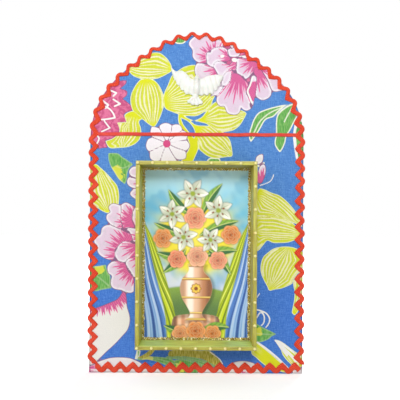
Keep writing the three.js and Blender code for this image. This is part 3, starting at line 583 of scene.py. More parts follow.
def printed_cotton():
    """Plain-weave cotton, reactive printed: matt, slightly fuzzy, with the threads breaking up
    the flat colours. Each motif layer's attribute holds the depth inside the motif's edge in
    millimetres, and three numbers that its stripes or streaks follow."""
    look = bpy.context.scene.shrine
    material, tree, shader = blank("Printed plain-weave cotton", 0.92, Sheen_Weight=0.12)
    place = add(tree, COORDINATES, {}, {}, "Object")
    marks = {}
    for name in ("rose", "lime", "green", "olive", "petals", "strokes"):
        colour_out = add(tree, ATTRIBUTE, {"attribute_name": name}, {}, "Color")
        parts = add(tree, SEPARATE, {}, {0: colour_out}).node.outputs
        marks[name] = (*parts, colour_out.node.outputs["Alpha"])

    # Slubs: threads of uneven thickness, longer than wide, that lighten or darken the dye
    across = add(tree, MAPPING, {}, {"Vector": place, "Scale": (1 / (5 * MM), 1, 1 / (0.7 * MM))})
    upward = add(tree, MAPPING, {}, {"Vector": place, "Scale": (1 / (0.7 * MM), 1, 1 / (5 * MM))})
    weft = add(tree, NOISE, {}, {"Vector": across, "Scale": 1.0, "Detail": 2.0})
    warp = add(tree, NOISE, {}, {"Vector": upward, "Scale": 1.0, "Detail": 2.0})
    threads = add(tree, MATHS, SUM, {0: weft, 1: warp})
    ground = tint(tree, tuple(look.cloth_blue_deep), tuple(look.cloth_blue), threads, 0.72, 1.3)
    # Specks of fibre that took less of the blue, or more
    speck = add(tree, NOISE, {}, {"Vector": place, "Scale": 1 / (0.85 * MM), "Detail": 1.0})
    ground = tint(tree, ground, "8FC0EC", speck, 0.6, 0.75, 0.55)
    ground = tint(tree, ground, "2F66BC", speck, 0.4, 0.27, 0.6)

    # Painted shade: the blue darkens towards the foot of the cloth
    height = add(tree, SEPARATE, {}, {0: place}).node.outputs[2]
    share = add(tree, RANGE, SMOOTH, {"Value": height, "From Min": SHADE_START_HEIGHT,
                                      "From Max": SHADE_FULL_HEIGHT})
    ground = add(tree, MIX, MULTIPLY_BLEND, {0: share, 6: ground, 7: CLOTH_FOOT_SHADE}, RESULT)

    # Rose: veined pink with a darker line at its edge
    edge = marks["rose"][0]
    veins = add(tree, NOISE, {}, {"Vector": place, "Scale": 1 / (5 * MM), "Detail": 3.0,
                                  "Distortion": 1.5})
    rose = tint(tree, "CC5583", "E7799F", veins, 0.42, 0.6)
    rose = tint(tree, rose, "A0527C", edge, 0.75, 0.25)
    ground = tint(tree, ground, rose, edge, *PRINT_EDGE)

    # Lime leaves: brush-drawn cream stripes of uneven strength with thin brown lines beside
    # them, clear lime at both ends and a pale edge
    edge, along, stripes, _ = marks["lime"]
    spot = add(tree, "ShaderNodeCombineXYZ", {}, {"X": along, "Y": stripes})
    brush = add(tree, NOISE, {}, {"Vector": spot, "Scale": 1.9, "Detail": 2.0})
    bent = add(tree, MATHS, TIMES_PLUS, {0: brush, 1: 0.8, 2: stripes})
    turn = add(tree, MATHS, TIMES, {0: bent, 1: 2 * math.pi})
    wave = add(tree, MATHS, SINE, {0: turn})
    uneven = add(tree, MATHS, TIMES_PLUS, {0: brush, 1: 2.6, 2: wave})
    ragged = add(tree, MATHS, TIMES_PLUS, {0: threads, 1: 0.9, 2: uneven})
    near_stem = add(tree, RANGE, SMOOTH, {"Value": along, "From Min": 0.06, "From Max": 0.24})
    near_tip = add(tree, RANGE, SMOOTH, {"Value": along, "From Min": 0.97, "From Max": 0.82})
    inside = add(tree, RANGE, SMOOTH, {"Value": edge, "From Min": 0.3, "From Max": 1.2})
    fade = add(tree, MATHS, TIMES, {0: near_stem, 1: near_tip})
    fade = add(tree, MATHS, TIMES, {0: fade, 1: inside})
    lime = tint(tree, "D2D936", "E0E63C", threads, 0.75, 1.25)
    lime = tint(tree, lime, "E3E516", along, 0.3, 0.05)
    lime = tint(tree, lime, "E3E516", along, 0.8, 0.98)
    cream = add(tree, RANGE, SMOOTH, {"Value": ragged, "From Min": 2.1, "From Max": 3.1})
    cream = add(tree, MATHS, TIMES, {0: cream, 1: fade})
    lime = add(tree, MIX, COLOUR_MIX, {0: cream, 6: lime, 7: linear("F5F2C2")}, RESULT)
    beside = add(tree, RANGE, SMOOTH, {"Value": wave, "From Min": 0.25, "From Max": -0.1})
    beyond = add(tree, RANGE, SMOOTH, {"Value": wave, "From Min": -0.65, "From Max": -0.3})
    hair = add(tree, MATHS, TIMES, {0: beside, 1: beyond})
    strong = add(tree, RANGE, SMOOTH, {"Value": brush, "From Min": 0.4, "From Max": 0.62,
                                       "To Max": 0.55})
    hair = add(tree, MATHS, TIMES, {0: hair, 1: strong})
    hair = add(tree, MATHS, TIMES, {0: hair, 1: fade})
    lime = add(tree, MIX, COLOUR_MIX, {0: hair, 6: lime, 7: linear("B9A860")}, RESULT)
    lime = tint(tree, lime, "F3F4BE", edge, 0.75, 0.3)
    ground = tint(tree, ground, lime, edge, *PRINT_EDGE)

    # Green leaves: most with a pale outline and midrib, two with yellow patches instead
    edge, rib, yellow, bare = marks["green"]
    green = tint(tree, "5CA64C", "88C267", warp, 0.4, 0.62)
    blotch = add(tree, NOISE, {}, {"Vector": place, "Scale": 1 / (4.5 * MM), "Detail": 2.0,
                                   "Distortion": 1.0})
    patch = add(tree, MATHS, SUM, {0: blotch, 1: yellow})
    green = tint(tree, green, "DDE048", patch, 0.98, 1.12)
    outline = add(tree, RANGE, SMOOTH, {"Value": edge, "From Min": 1.15, "From Max": 0.8})
    midrib = add(tree, RANGE, SMOOTH, {"Value": rib, "From Min": 0.75, "From Max": 0.4})
    pale = add(tree, MATHS, HIGHER, {0: outline, 1: midrib})
    faint = add(tree, RANGE, {}, {"Value": bare, "From Min": 1.0, "From Max": 0.0, "To Min": 0.2})
    pale = add(tree, MATHS, TIMES, {0: pale, 1: faint})
    green = add(tree, MIX, COLOUR_MIX, {0: pale, 6: green, 7: linear("F3F4DA")}, RESULT)
    ground = tint(tree, ground, green, edge, *PRINT_EDGE)

    # Olive leaves
    edge = marks["olive"][0]
    olive = tint(tree, "ADA42C", "DCD268", warp, 0.4, 0.6)
    ground = tint(tree, ground, olive, edge, *PRINT_EDGE)

    # Petals: pale body, greyer within, hot pink streaks from the heart, thin plum outline
    edge, reach, streak, cream = marks["petals"]
    body = tint(tree, "F7EFF4", "E9D1E2", edge, 0.6, 2.6)
    body = tint(tree, body, "D9CFD6", veins, 0.52, 0.68, 0.6)
    body = add(tree, MIX, COLOUR_MIX, {0: cream, 6: body, 7: linear("F4F1E8")}, RESULT)
    share = add(tree, RANGE, {}, {"Value": cream, "From Min": 0.0, "From Max": -1.0,
                                  "To Max": 0.85})
    body = add(tree, MIX, COLOUR_MIX, {0: share, 6: body, 7: linear("FFFAFC")}, RESULT)
    turn = add(tree, MATHS, TIMES, {0: streak, 1: 2 * math.pi})
    finger = add(tree, MATHS, SINE, {0: turn})
    turn = add(tree, MATHS, TIMES, {0: streak, 1: 2 * math.pi * 0.38})
    group = add(tree, MATHS, SINE, {0: turn})
    limit = add(tree, MATHS, TIMES_PLUS, {0: group, 1: 0.3, 2: 0.46})
    limit = add(tree, MATHS, TIMES_PLUS, {0: finger, 1: 0.3, 2: limit})
    left = add(tree, MATHS, {"operation": "SUBTRACT"}, {0: limit, 1: reach})
    pink = tint(tree, "C95C90", "E96AA0", finger, -0.9, 0.4)
    body = tint(tree, body, "EFA3C4", reach, 1.0, 0.2, 0.3)
    body = tint(tree, body, pink, left, -0.05, 0.05)
    body = tint(tree, body, "8E6084", edge, 0.5, 0.2)
    ground = tint(tree, ground, body, edge, -0.2, 0.0)

    # White strokes and the daisy's heart
    edge, heart, _, _ = marks["strokes"]
    ground = tint(tree, ground, "FBF8F2", edge, -0.1, 0.12)
    ground = tint(tree, ground, "DE4F88", heart, -0.1, 0.12)

    # Threads over and under, with painted shade where they dip under each other. A wave texture of
    # scale 1 has a band every 20th of a turn
    weave = {"Vector": place, "Scale": 2 * math.pi / 20 / THREAD_PITCH, "Distortion": 0.4,
             "Detail": 1.0}
    over = add(tree, WAVES, {"bands_direction": "X"}, weave)
    under = add(tree, WAVES, {"bands_direction": "Z"}, weave)
    cloth = add(tree, MATHS, TIMES, {0: over, 1: under})
    dark = tint(tree, "C9CDD6", "FFFFFF", cloth, 0, 0.35)
    whole = add(tree, MIX, MULTIPLY_BLEND, {0: 0.6, 6: ground, 7: dark}, RESULT)
    height = add(tree, MATHS, TIMES_PLUS, {0: threads, 1: 0.8, 2: cloth})
    dress(tree, shader, whole, height, 0.35, 0.25)
    return material


def trim_yarn(name, colour, deep, pitch, roughness):
    """Dyed cotton yarn, flat braided: matt, with slanting yarns that meet in the middle, and
    painted shade in the grooves between them. The attribute lay holds millimetres along the trim
    and across it from its middle."""
    material, tree, shader = blank(name, roughness, Sheen_Weight=0.12)
    lay = add(tree, ATTRIBUTE, {"attribute_name": "lay"}, {}, "Color")
    along, across, _ = add(tree, SEPARATE, {}, {0: lay}).node.outputs
    side = add(tree, MATHS, {"operation": "ABSOLUTE"}, {0: across})
    slant = add(tree, MATHS, TIMES_PLUS, {0: side, 1: 0.9, 2: along})
    turn = add(tree, MATHS, TIMES, {0: slant, 1: 2 * math.pi / pitch})
    yarn = add(tree, MATHS, SINE, {0: turn})
    place = add(tree, COORDINATES, {}, {}, "Object")
    fade = add(tree, NOISE, {}, {"Vector": place, "Scale": 1 / (9 * MM), "Detail": 4.0,
                                 "Roughness": 0.65})
    # Painted shade: the red deepens in the grooves between the yarns
    dyed_and_groove_shaded = tint(tree, deep, colour, yarn, -1.0, 0.3)
    paler = tuple(min(1, c * 1.25 + 0.05) for c in colour[:3]) + (1,)
    dress(tree, shader, tint(tree, dyed_and_groove_shaded, paler, fade, 0.45, 0.75, 0.35), yarn, 0.6, 0.2)
    return material


def olive_paint():
    """Soft wood, brushed by hand with acrylic paint: satin, with streaks of gold brown where
    the coat is thin and specks of grain showing through."""
    look = bpy.context.scene.shrine
    material, tree, shader = blank("Brushed acrylic paint on wood", 0.5, Coat_Weight=0.15,
                                   Coat_Roughness=0.3)
    place = add(tree, COORDINATES, {}, {}, "Object")
    # The attribute coat multiplies the paint by painted light and shade, set for each piece by
    # build_box
    hand = add(tree, ATTRIBUTE, {"attribute_name": "coat"}, {}, "Color")
    upright = hand.node.outputs["Alpha"]
    brush = []
    for stretch in ((1 / (14 * MM), 1 / MM, 1 / MM), (1 / MM, 1 / MM, 1 / (14 * MM))):
        lay = add(tree, MAPPING, {}, {"Vector": place, "Scale": stretch})
        brush.append(add(tree, NOISE, {}, {"Vector": lay, "Scale": 1.0, "Detail": 4.0}))
    streak = add(tree, MIX, {}, {0: upright, 2: brush[0], 3: brush[1]}, 0)
    coat = tint(tree, tuple(look.paint_thin), tuple(look.paint), streak, 0.38, 0.6)
    fleck = add(tree, NOISE, {}, {"Vector": place, "Scale": 1 / (0.9 * MM), "Detail": 2.0})
    worn = tint(tree, coat, "8E8038", fleck, 0.66, 0.74, 0.7)
    dress(tree, shader, add(tree, MIX, MULTIPLY_BLEND, {0: 1.0, 6: worn, 7: hand}, RESULT), streak, 0.3, 0.2)
    return material


def coated_card():
    """Chromo print on coated card: glossy, with the ink's colours in the piece's attribute and
    a faint screen of dots that keeps the flats from looking dead."""
    material, tree, shader = blank("Coated card, offset printed", 0.5, Coat_Weight=0.08,
                                   Coat_Roughness=0.2, Specular_IOR_Level=0.2)
    ink = add(tree, ATTRIBUTE, {"attribute_name": "ink"}, {}, "Color")
    place = add(tree, COORDINATES, {}, {}, "Object")
    grain = add(tree, NOISE, {}, {"Vector": place, "Scale": 1 / (0.6 * MM), "Detail": 2.0})
    share = add(tree, RANGE, {}, {"Value": grain, "From Min": 0.3, "From Max": 0.7,
                                  "To Max": 0.04})
    dress(tree, shader,
          add(tree, MIX, COLOUR_MIX, {0: share, 6: ink, 7: linear("FFFFFF")}, RESULT))
    return material


def gold_glitter():
    """Cut polyester glitter in clear glue: small flat flakes, each tilted its own way by its bump,
    and each with a painted glint from brown through gold to cream."""
    material, tree, shader = blank("Gold glitter in glue", 0.25, Metallic=0.2)
    place = add(tree, COORDINATES, {}, {}, "Object")
    cell = add(tree, "ShaderNodeTexVoronoi", {}, {"Vector": place, "Scale": 1 / (0.55 * MM)}).node
    flake_glint = add(tree, SEPARATE, {}, {0: cell.outputs["Color"]})
    ramp = tree.nodes.new("ShaderNodeValToRGB")
    ramp.color_ramp.interpolation = "CONSTANT"
    stops = ((0.0, "655418"), (0.16, "95802A"), (0.42, "B39E3E"), (0.7, "D8CB74"),
             (0.86, "FFFBDA"))
    while len(ramp.color_ramp.elements) < len(stops):
        ramp.color_ramp.elements.new(1.0)
    for element, (spot, code) in zip(ramp.color_ramp.elements, stops):
        element.position, element.color = spot, linear(code)
    tree.links.new(flake_glint, ramp.inputs[0])
    dress(tree, shader, ramp.outputs[0], flake_glint, 0.8, 0.4)
    return material


def pearl_plastic():
    """Moulded ABS half pearls with a pearl lacquer: cream, smooth, with a clear top coat that holds
    a small bright highlight, and a painted shade that turns the rim a darker olive where the dome
    faces away from the camera."""
    material, tree, shader = blank("Pearl lacquer on moulded plastic", 0.3, Coat_Weight=0.7,
                                   Coat_Roughness=0.08, Subsurface_Weight=0.1,
                                   Subsurface_Scale=0.001)
    rim_shade = add(tree, "ShaderNodeLayerWeight", {}, {"Blend": 0.35}, "Facing")
    dress(tree, shader, add(tree, MIX, COLOUR_MIX, {0: rim_shade, 6: linear("ECE392"),
                                                    7: linear("B9AB5A")}, RESULT))
    return material


def white_resin():
    """Cast polyester resin, left white: satin, a little translucent, with a painted shade that
    greys the hollows of the casting."""
    material, tree, shader = blank("Cast white resin", 0.42, Subsurface_Weight=0.12,
                                   Subsurface_Scale=0.002, Coat_Weight=0.1)
    place = add(tree, COORDINATES, {}, {}, "Object")
    cloud = add(tree, NOISE, {}, {"Vector": place, "Scale": 1 / (4 * MM), "Detail": 3.0})
    # Painted shade in the hollows, from the mesh's pointiness
    hollow = add(tree, "ShaderNodeNewGeometry", {}, {}, "Pointiness")
    base = add(tree, MIX, COLOUR_MIX, {0: cloud, 6: linear("E5E6E1"), 7: linear("DADBD4")}, RESULT)
    dress(tree, shader, tint(tree, base, "A9A898", hollow, 0.5, 0.4, 0.6))
    return material


def raw_board():
    """Bare MDF: pressed wood fibre, matt mid brown with short darker fibres."""
    material, tree, shader = blank("Raw MDF", 0.85)
    place = add(tree, COORDINATES, {}, {}, "Object")
    lay = add(tree, MAPPING, {}, {"Vector": place, "Scale": (1.0, 1.0, 0.45)})
    fibre = add(tree, NOISE, {}, {"Vector": lay, "Scale": 1 / (1.1 * MM), "Detail": 5.0,
                                  "Roughness": 0.7})
    patch = add(tree, NOISE, {}, {"Vector": place, "Scale": 1 / (30 * MM), "Detail": 2.0})
    wood = tint(tree, "8F6C48", "BC976C", fibre, 0.35, 0.65)
    final = add(tree, MIX, COLOUR_MIX, {0: patch, 6: wood, 7: linear("A98258")}, RESULT)
    dress(tree, shader, final, fibre, 0.25, 0.1)
    return material


def plated_metal(name, colour, roughness, scratch):
    """Plated steel or tin: a metal sheen with fine scratches along the part's height."""
    material, tree, shader = blank(name, roughness, Metallic=1.0)
    place = add(tree, COORDINATES, {}, {}, "Object")
    lay = add(tree, MAPPING, {}, {"Vector": place, "Scale": (1.0, 1.0, 0.15)})
    mark = add(tree, NOISE, {}, {"Vector": lay, "Scale": 1 / (0.5 * MM), "Detail": 4.0})
    darker = tuple(c * 0.72 for c in colour[:3]) + (1,)
    dress(tree, shader, add(tree, MIX, COLOUR_MIX, {0: mark, 6: darker, 7: colour}, RESULT))
    rough = add(tree, RANGE, {}, {"Value": mark, "From Min": 0.3, "From Max": 0.7,
                                  "To Min": roughness, "To Max": roughness + scratch})
    tree.links.new(rough, shader.inputs["Roughness"])
    return material


# Pieces


def lime_marks(motif, at, depth):
    """Along the leaf from 0 to 1, and across it in stripes: the distance from the axis over
    that distance plus the depth, so that stripes draw together towards both ends."""
    outline, stem, tip = motif
    stem, axis = np.array(stem, float), np.subtract(tip, stem).astype(float)
    length = np.hypot(*axis)
    axis /= length
    away = at - stem
    side = away[:, 1] * axis[0] - away[:, 0] * axis[1]
    rim = np.reshape(outline, (-1, 2)) - stem
    half = np.abs(rim[:, 1] * axis[0] - rim[:, 0] * axis[1]).max()
    share = side / (np.abs(side) + np.maximum(depth, LEAF_OPENING))
    return np.stack([away @ axis / length, share * half / STRIPE_SPACING, share * 0], axis=1)


def green_marks(motif, at, depth):
    """Distance from the midrib, the yellow patch's share, from 1 at its centre to 0, and 1 for
    a leaf with patches, which has no pale outline."""
    _, midrib, patch, radius = motif
    rib = -edge_distance(at, smooth_line(midrib, closed=False), closed=False)
    yellow = np.clip(1.2 - np.hypot(*(at - patch).T) / radius, 0, 1)
    return np.stack([rib, yellow, np.full(len(at), float(radius > 1))], axis=1)


def petal_marks(motif, at, depth):
    """How far out each point is between the solid heart and the longest streaks, the angle
    about the heart in streaks, and the cream share."""
    _, heart, solid, reach, cream = motif
    away = at - np.array(heart, float)
    distance = np.hypot(*away.T)
    angle = np.arctan2(away[:, 1], away[:, 0])
    streaks = round(2 * math.pi * (solid + reach) / 2 / STREAK_SPACING)
    out = (distance - solid) / (reach - solid)
    return np.stack([out, angle * streaks / (2 * math.pi), np.full(len(at), cream)], axis=1)


def print_layer(at, motifs, marks=None, bridge=0.0):
    """One layer of the print: for each point of the cloth the depth inside the nearest motif,
    and that motif's own marks. Without marks a motif is its outline alone. With a bridge,
    motifs meet: a gap of up to twice the bridge closes, and the depth is nothing on the line
    midway between two motifs, so that an outline runs there."""
    layer = np.tile([-MOTIF_MARGIN, 0.0, 0.0, 0.0], (len(at), 1))
    second = np.full(len(at), -MOTIF_MARGIN)
    for motif in motifs:
        line = smooth_line(motif[0] if marks else motif)
        near = nearby(at, line, MOTIF_MARGIN)
        depth = np.maximum(edge_distance(at[near], line), -MOTIF_MARGIN)
        better = depth > layer[near, 0]
        second[near] = np.where(better, layer[near, 0], np.maximum(second[near], depth))
        rows = near[better]
        layer[rows, 0] = depth[better]
        if marks:
            layer[rows, 1:] = marks(motif, at[rows], depth[better])
    if bridge:
        first = layer[:, 0]
        midway = (first - second) / 2
        joined = np.minimum(midway, np.minimum(first, second) + bridge)
        layer[:, 0] = np.maximum(np.minimum(first, midway), joined)
    return layer


def print_layers(at):
    """All layers of the print, from the lowest to the highest."""
    lime = print_layer(at, LIME_LEAVES, lime_marks)
    slits = print_layer(at, LEAF_SLITS)
    lime[:, 0] = np.minimum(lime[:, 0], -slits[:, 0])
    strokes = np.tile([-MOTIF_MARGIN, -MOTIF_MARGIN, 0.0, 0.0], (len(at), 1))
    for points, width in STROKES:
        line = smooth_line(points, closed=False)
        near = nearby(at, line, MOTIF_MARGIN)
        depth = edge_distance(at[near], line, closed=False) + width / 2
        strokes[near, 0] = np.maximum(strokes[near, 0], depth)
    strokes[:, 1] = DAISY_HEART_RADIUS - np.hypot(*(at - DAISY_HEART).T)
    return {
        "rose": print_layer(at, ROSE),
        "lime": lime,
        "green": print_layer(at, GREEN_LEAVES, green_marks),
        "olive": print_layer(at, OLIVE_LEAVES),
        "petals": print_layer(at, PETALS, petal_marks, PETAL_BRIDGE),
        "strokes": strokes,
    }


def cover_front(inset):
    """The flat front as a Coons patch: opposite sides of the outline blended across and up,
    less the blend of the four corners. Gives points of shape (rows, columns, 2)."""
    bottom, right, crown, left = outline_sides(inset)
    crown, left = crown[::-1], left[::-1]
    u = np.linspace(0, 1, WIDTH_CELLS + 1)[None, :, None]
    v = np.linspace(0, 1, SIDE_CELLS + SHOULDER_CELLS + 1)[:, None, None]
    sides = (1 - v) * bottom[None] + v * crown[None] + (1 - u) * left[:, None] + u * right[:, None]
    ends = ((1 - u) * (1 - v) * bottom[0] + u * (1 - v) * bottom[-1]
            + (1 - u) * v * crown[0] + u * v * crown[-1])
    return sides - ends


EDGE_RINGS, HEM_RINGS = 8, 10  # rings of points round the edge, and in the hem
PLEATS, PLEAT_START = 27, 12.0  # half waves over the arch, and mm over which they rise
HEM_STRAY, HEM_SINK = 0.7, 0.2  # mm that the cut edge wanders, and is pressed to the board


def cover_rings():
    """The cloth past the front: round the front edge, across the thickness, round the back
    edge, and the hem. Each ring is (inset from the edge, depth y, run along the cloth)."""
    look = bpy.context.scene.shrine
    bend = look.edge_radius / MM
    hem = look.hem_width / MM
    depth = CLOTH_BACK - CLOTH_FRONT - 2 * bend
    quarter = [share * math.pi / 2 for share in (1 / 3, 2 / 3, 1)]
    rings = [(bend * (1 - math.sin(a)), CLOTH_FRONT + bend * (1 - math.cos(a)), a * bend)
             for a in quarter]
    run = rings[-1][2]
    rings += [(0.0, CLOTH_FRONT + bend + depth * share, run + depth * share)
              for share in (0.5, 1)]
    run += depth
    rings += [(bend * (1 - math.cos(a)), CLOTH_BACK - bend * (1 - math.sin(a)), run + a * bend)
              for a in quarter]
    run = rings[-1][2]
    return rings + [(bend + (hem - bend) * share, CLOTH_BACK, run + (hem - bend) * share)
                    for share in np.linspace(0, 1, HEM_RINGS + 1)[1:]]


def build_cover():
    """The cotton: front, edge band and hem as one sheet. The hem lies in small pleats round
    the arch and its cut edge wanders a little."""
    look = bpy.context.scene.shrine
    bend = look.edge_radius / MM
    front = cover_front(bend)
    rows, columns = front.shape[:2]
    flat = [front.reshape(-1, 2)]
    points = [np.column_stack([front[..., 0].ravel(), np.full(rows * columns, CLOTH_FRONT),
                               front[..., 1].ravel()])]
    before = rim_numbers(rows, columns)
    faces = [grid_faces(rows, columns)[:, ::-1]]

    edge, inner = outline_loop(0.0), outline_loop(1.0)
    outwards = edge - inner
    outwards /= np.hypot(*outwards.T)[:, None]
    count = len(edge)
    above = edge[:, 1] - look.spring_height / MM
    turn = np.arctan2(above, edge[:, 0])
    on_arch = np.clip(above / PLEAT_START, 0, 1)
    pleat = on_arch * np.clip(np.sin(turn * PLEATS + 1.5 * np.sin(turn * 5)), 0, 1) ** 2
    stray = ripple(5, count, 60, HEM_STRAY)
    total = rows * columns
    rings = cover_rings()
    for i, (inset, depth, run) in enumerate(rings):
        hem_share = max(0.0, (i + 1 - EDGE_RINGS) / (len(rings) - EDGE_RINGS))
        loop = outline_loop(inset) + outwards * (stray * hem_share)[:, None]
        lift = look.pleat_height / MM * pleat * hem_share - HEM_SINK * hem_share
        points.append(np.column_stack([loop[:, 0], depth + lift, loop[:, 1]]))
        flat.append(edge + outwards * run)
        numbers = total + np.arange(count)
        faces.append(band_faces(before, numbers))
        before = numbers
        total += count
    piece = make_piece("printed_cotton_cover", np.vstack(points), faces, printed_cotton(),
                       closed=False)
    for name, layer in print_layers(np.vstack(flat)).items():
        write_attribute(piece, name, layer)

    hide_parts("fabric_cover")


def left_of(line):
    """The direction square to the line at each point, to its left."""
    step = np.gradient(line, axis=0)
    return np.stack([-step[:, 1], step[:, 0]], axis=1) / np.hypot(*step.T)[:, None]


FLAT_FOOT = 0.35  # a trim's height below its widest place, against that above


def sweep(centre, widths, heights, floor, side=None, sides=12, groove=0.0):
    """A flat braid along a centre line in x and z: at each point a half-oval section, width
    across the line, or along side where that is given, and height towards the front, with a
    groove along its middle. floor is the y of its underside. Gives points, faces and the marks
    along and across."""
    side = left_of(centre) if side is None else side
    along = np.concatenate([[0], np.cumsum(np.hypot(*np.diff(centre, axis=0).T))])
    angle = 2 * math.pi * np.arange(sides) / sides
    across = np.cos(angle)[None] * widths[:, None] / 2
    bulge = np.sin(angle)
    top = np.where(bulge > 0, np.abs(bulge) ** 0.7, -np.abs(bulge) * FLAT_FOOT)
    top = top * (1 - groove * np.exp(-((np.cos(angle) / 0.22) ** 2)))
    lift = (top[None] + FLAT_FOOT) / (1 + FLAT_FOOT) * heights[:, None]
    spots = centre[:, None] + side[:, None] * across[..., None]
    rows = len(centre)
    points = np.stack([spots[..., 0], floor - lift, spots[..., 1]], axis=-1).reshape(-1, 3)
    marks = np.vstack([np.stack([np.repeat(along, sides), across.ravel()], axis=1),
                       [[0, 0], [along[-1], 0]]])
    points = np.vstack([points, points[:sides].mean(0), points[-sides:].mean(0)])
    return points, tube_faces(rows, sides), marks


# Waves counted from the left foot, where the trim bends inwards at a whole number: at the
# foot, the left spring, two places on the arch, the right spring and the right foot
SURROUND_BENDS = (-0.04, 17.55, 23.5, 38.5, 40.36, 57.54)
RISING_SHARE, FALLING_SHARE = 0.2625, 0.9245  # of the arch, where those two places lie
# The lower length's first bend upwards, in mm from the middle, and mm from one to the next
BASE_FIRST_BEND, BASE_PERIOD = -69.0, 9.79
POINTED = 0.98  # how pointed the zigzag of the inward bends is, 1 for a sharp corner
POINT_WIDTH = 1.35  # the band across the whole trim at an inward bend, against the band itself
# How much wider the band has spread where it is sewn down: sides, arch and lower length
SURROUND_FULLNESS, ARCH_FULLNESS, BASE_FULLNESS = 1.12, 0.95, 1.3
TRIM_STEP, BRAID_STEP = 0.42, 0.5  # mm from one section of rick-rack or braid to the next
BRAID_FLAT = 4.0  # mm over which the braid flattens towards its ends


def waved(line, phase, swing):
    """The line with a wave across it, positive to its left, and the direction of the trim's
    width at each point. Where the trim bends outwards it runs round like a cosine with its
    width square to it. Towards a whole number of the phase, where it bends inwards, the wave
    goes over to a zigzag and the width to that of the whole trim, so that the bend is pointed."""
    cosine = np.cos(2 * math.pi * phase)
    zigzag = np.arcsin(POINTED * cosine) / math.asin(POINTED)
    share = ((1 + cosine) / 2) ** 2
    wave = (cosine + (zigzag - cosine) * share) * swing
    across = left_of(line)
    line = line + across * wave[:, None]
    share = share[:, None]
    return line, left_of(line) * (1 - share) + across * share * POINT_WIDTH


def trim_turn(sine):
    """How much of the trim's shift and taper counts at this sine of an arch angle: one less the
    fourth power of the cosine."""
    return 1 - (1 - sine**2) ** 2


def build_rickrack():
    """Both lengths of rick-rack: up the left side, over the arch and down the right side, and
    along the lower edge. The bends stand where the knots of the phase put them."""
    look = bpy.context.scene.shrine
    width, band = look.rickrack_width / MM, look.rickrack_band / MM
    thick = look.rickrack_thickness / MM
    swing = (width - band * (1 + POINT_WIDTH) / 2) / 2
    spring = look.spring_height / MM
    inset = width / 2 - look.rickrack_overhang / MM
    side_x = HALF_WIDTH - inset
    foot = look.surround_foot / MM
    material = trim_yarn("Dyed cotton rick-rack", tuple(look.trim_red),
                         tuple(look.trim_red_groove_shade), 1.15, 0.85)

    angles = np.linspace(math.pi, 0, 600)
    over = arch(angles, inset - look.rickrack_shift / MM * trim_turn(np.sin(angles)))
    path = np.vstack([[[-side_x, foot]], over, [[side_x, foot]]])
    length = np.hypot(*np.diff(path, axis=0).T).sum()
    path = resample(path, int(length / TRIM_STEP))
    sine = np.clip((path[:, 1] - spring) / (COVER_HIGH[2] - spring), 0, 1)
    narrow = 1 - look.rickrack_taper * trim_turn(sine)
    run = np.linspace(0, length, len(path))
    upright = spring - foot
    arc = length - 2 * upright
    knots = (0, upright, upright + RISING_SHARE * arc, upright + FALLING_SHARE * arc,
             upright + arc, length)
    phase = np.interp(run, knots, SURROUND_BENDS)
    line, side = waved(path, phase, -swing * narrow)
    line += ripple(11, len(path), 90, 0.16)[:, None] * [0.6, 0.8]
    height = thick * (1 + ripple(12, len(path), 120, 0.08))
    full = SURROUND_FULLNESS + (ARCH_FULLNESS - SURROUND_FULLNESS) * trim_turn(sine)
    band_here = band * full * narrow * (1 + ripple(13, len(path), 150, 0.09))
    points, faces, marks = sweep(line, band_here, height, CLOTH_FRONT, side)
    piece = make_piece("surround_rickrack", points, faces, material)
    write_attribute(piece, "lay", marks)
    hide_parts("rickrack_surround")

    start = look.base_start / MM
    count = int((side_x - start) / TRIM_STEP)
    x = np.linspace(start, side_x, count)
    base = np.stack([x, np.full(count, look.base_middle / MM)], axis=1)
    phase = (x - BASE_FIRST_BEND) / BASE_PERIOD
    line, side = waved(base, phase, swing)
    line += ripple(14, count, 40, 0.2)[:, None] * [0.3, 0.5]
    full = band * BASE_FULLNESS * (1 + ripple(15, count, 50, 0.09))
    points, faces, marks = sweep(line, full, np.full(count, thick), CLOTH_FRONT, side)
    piece = make_piece("base_rickrack", points, faces, material)
    write_attribute(piece, "lay", marks)
    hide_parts("rickrack_base")


def build_braid():
    """Soutache: two cords side by side, carried straight across, flattened where its ends go
    under the rick-rack."""
    look = bpy.context.scene.shrine
    low, high = corners("cross_braid")
    reach = look.braid_reach / MM
    count = int(2 * reach / BRAID_STEP)
    x = np.linspace(-reach, reach, count)
    z = (low[2] + high[2]) / 2 + ripple(21, count, 9, 0.22)
    line = np.stack([x, z], axis=1)
    ends = np.clip((reach - np.abs(x)) / BRAID_FLAT, 0.25, 1)
    width = (high[2] - low[2]) * (1 + ripple(22, count, 30, 0.05))
    points, faces, marks = sweep(line, width, (high[1] - low[1]) * ends, CLOTH_FRONT, sides=16,
                                 groove=0.3)
    material = trim_yarn("Rayon soutache braid", tuple(look.braid_red),
                         tuple(look.braid_red_groove_shade), 0.9, 0.6)
    piece = make_piece("soutache_braid", points, faces, material)
    write_attribute(piece, "lay", marks)
    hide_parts("cross_braid")


EASED_EDGE = 0.45  # mm, the radius that sanding and paint leave on the boards' edges
BOARD_CELL, BOARD_WAVE = 3.0, 0.06  # mm between points on a board, and mm its faces wave


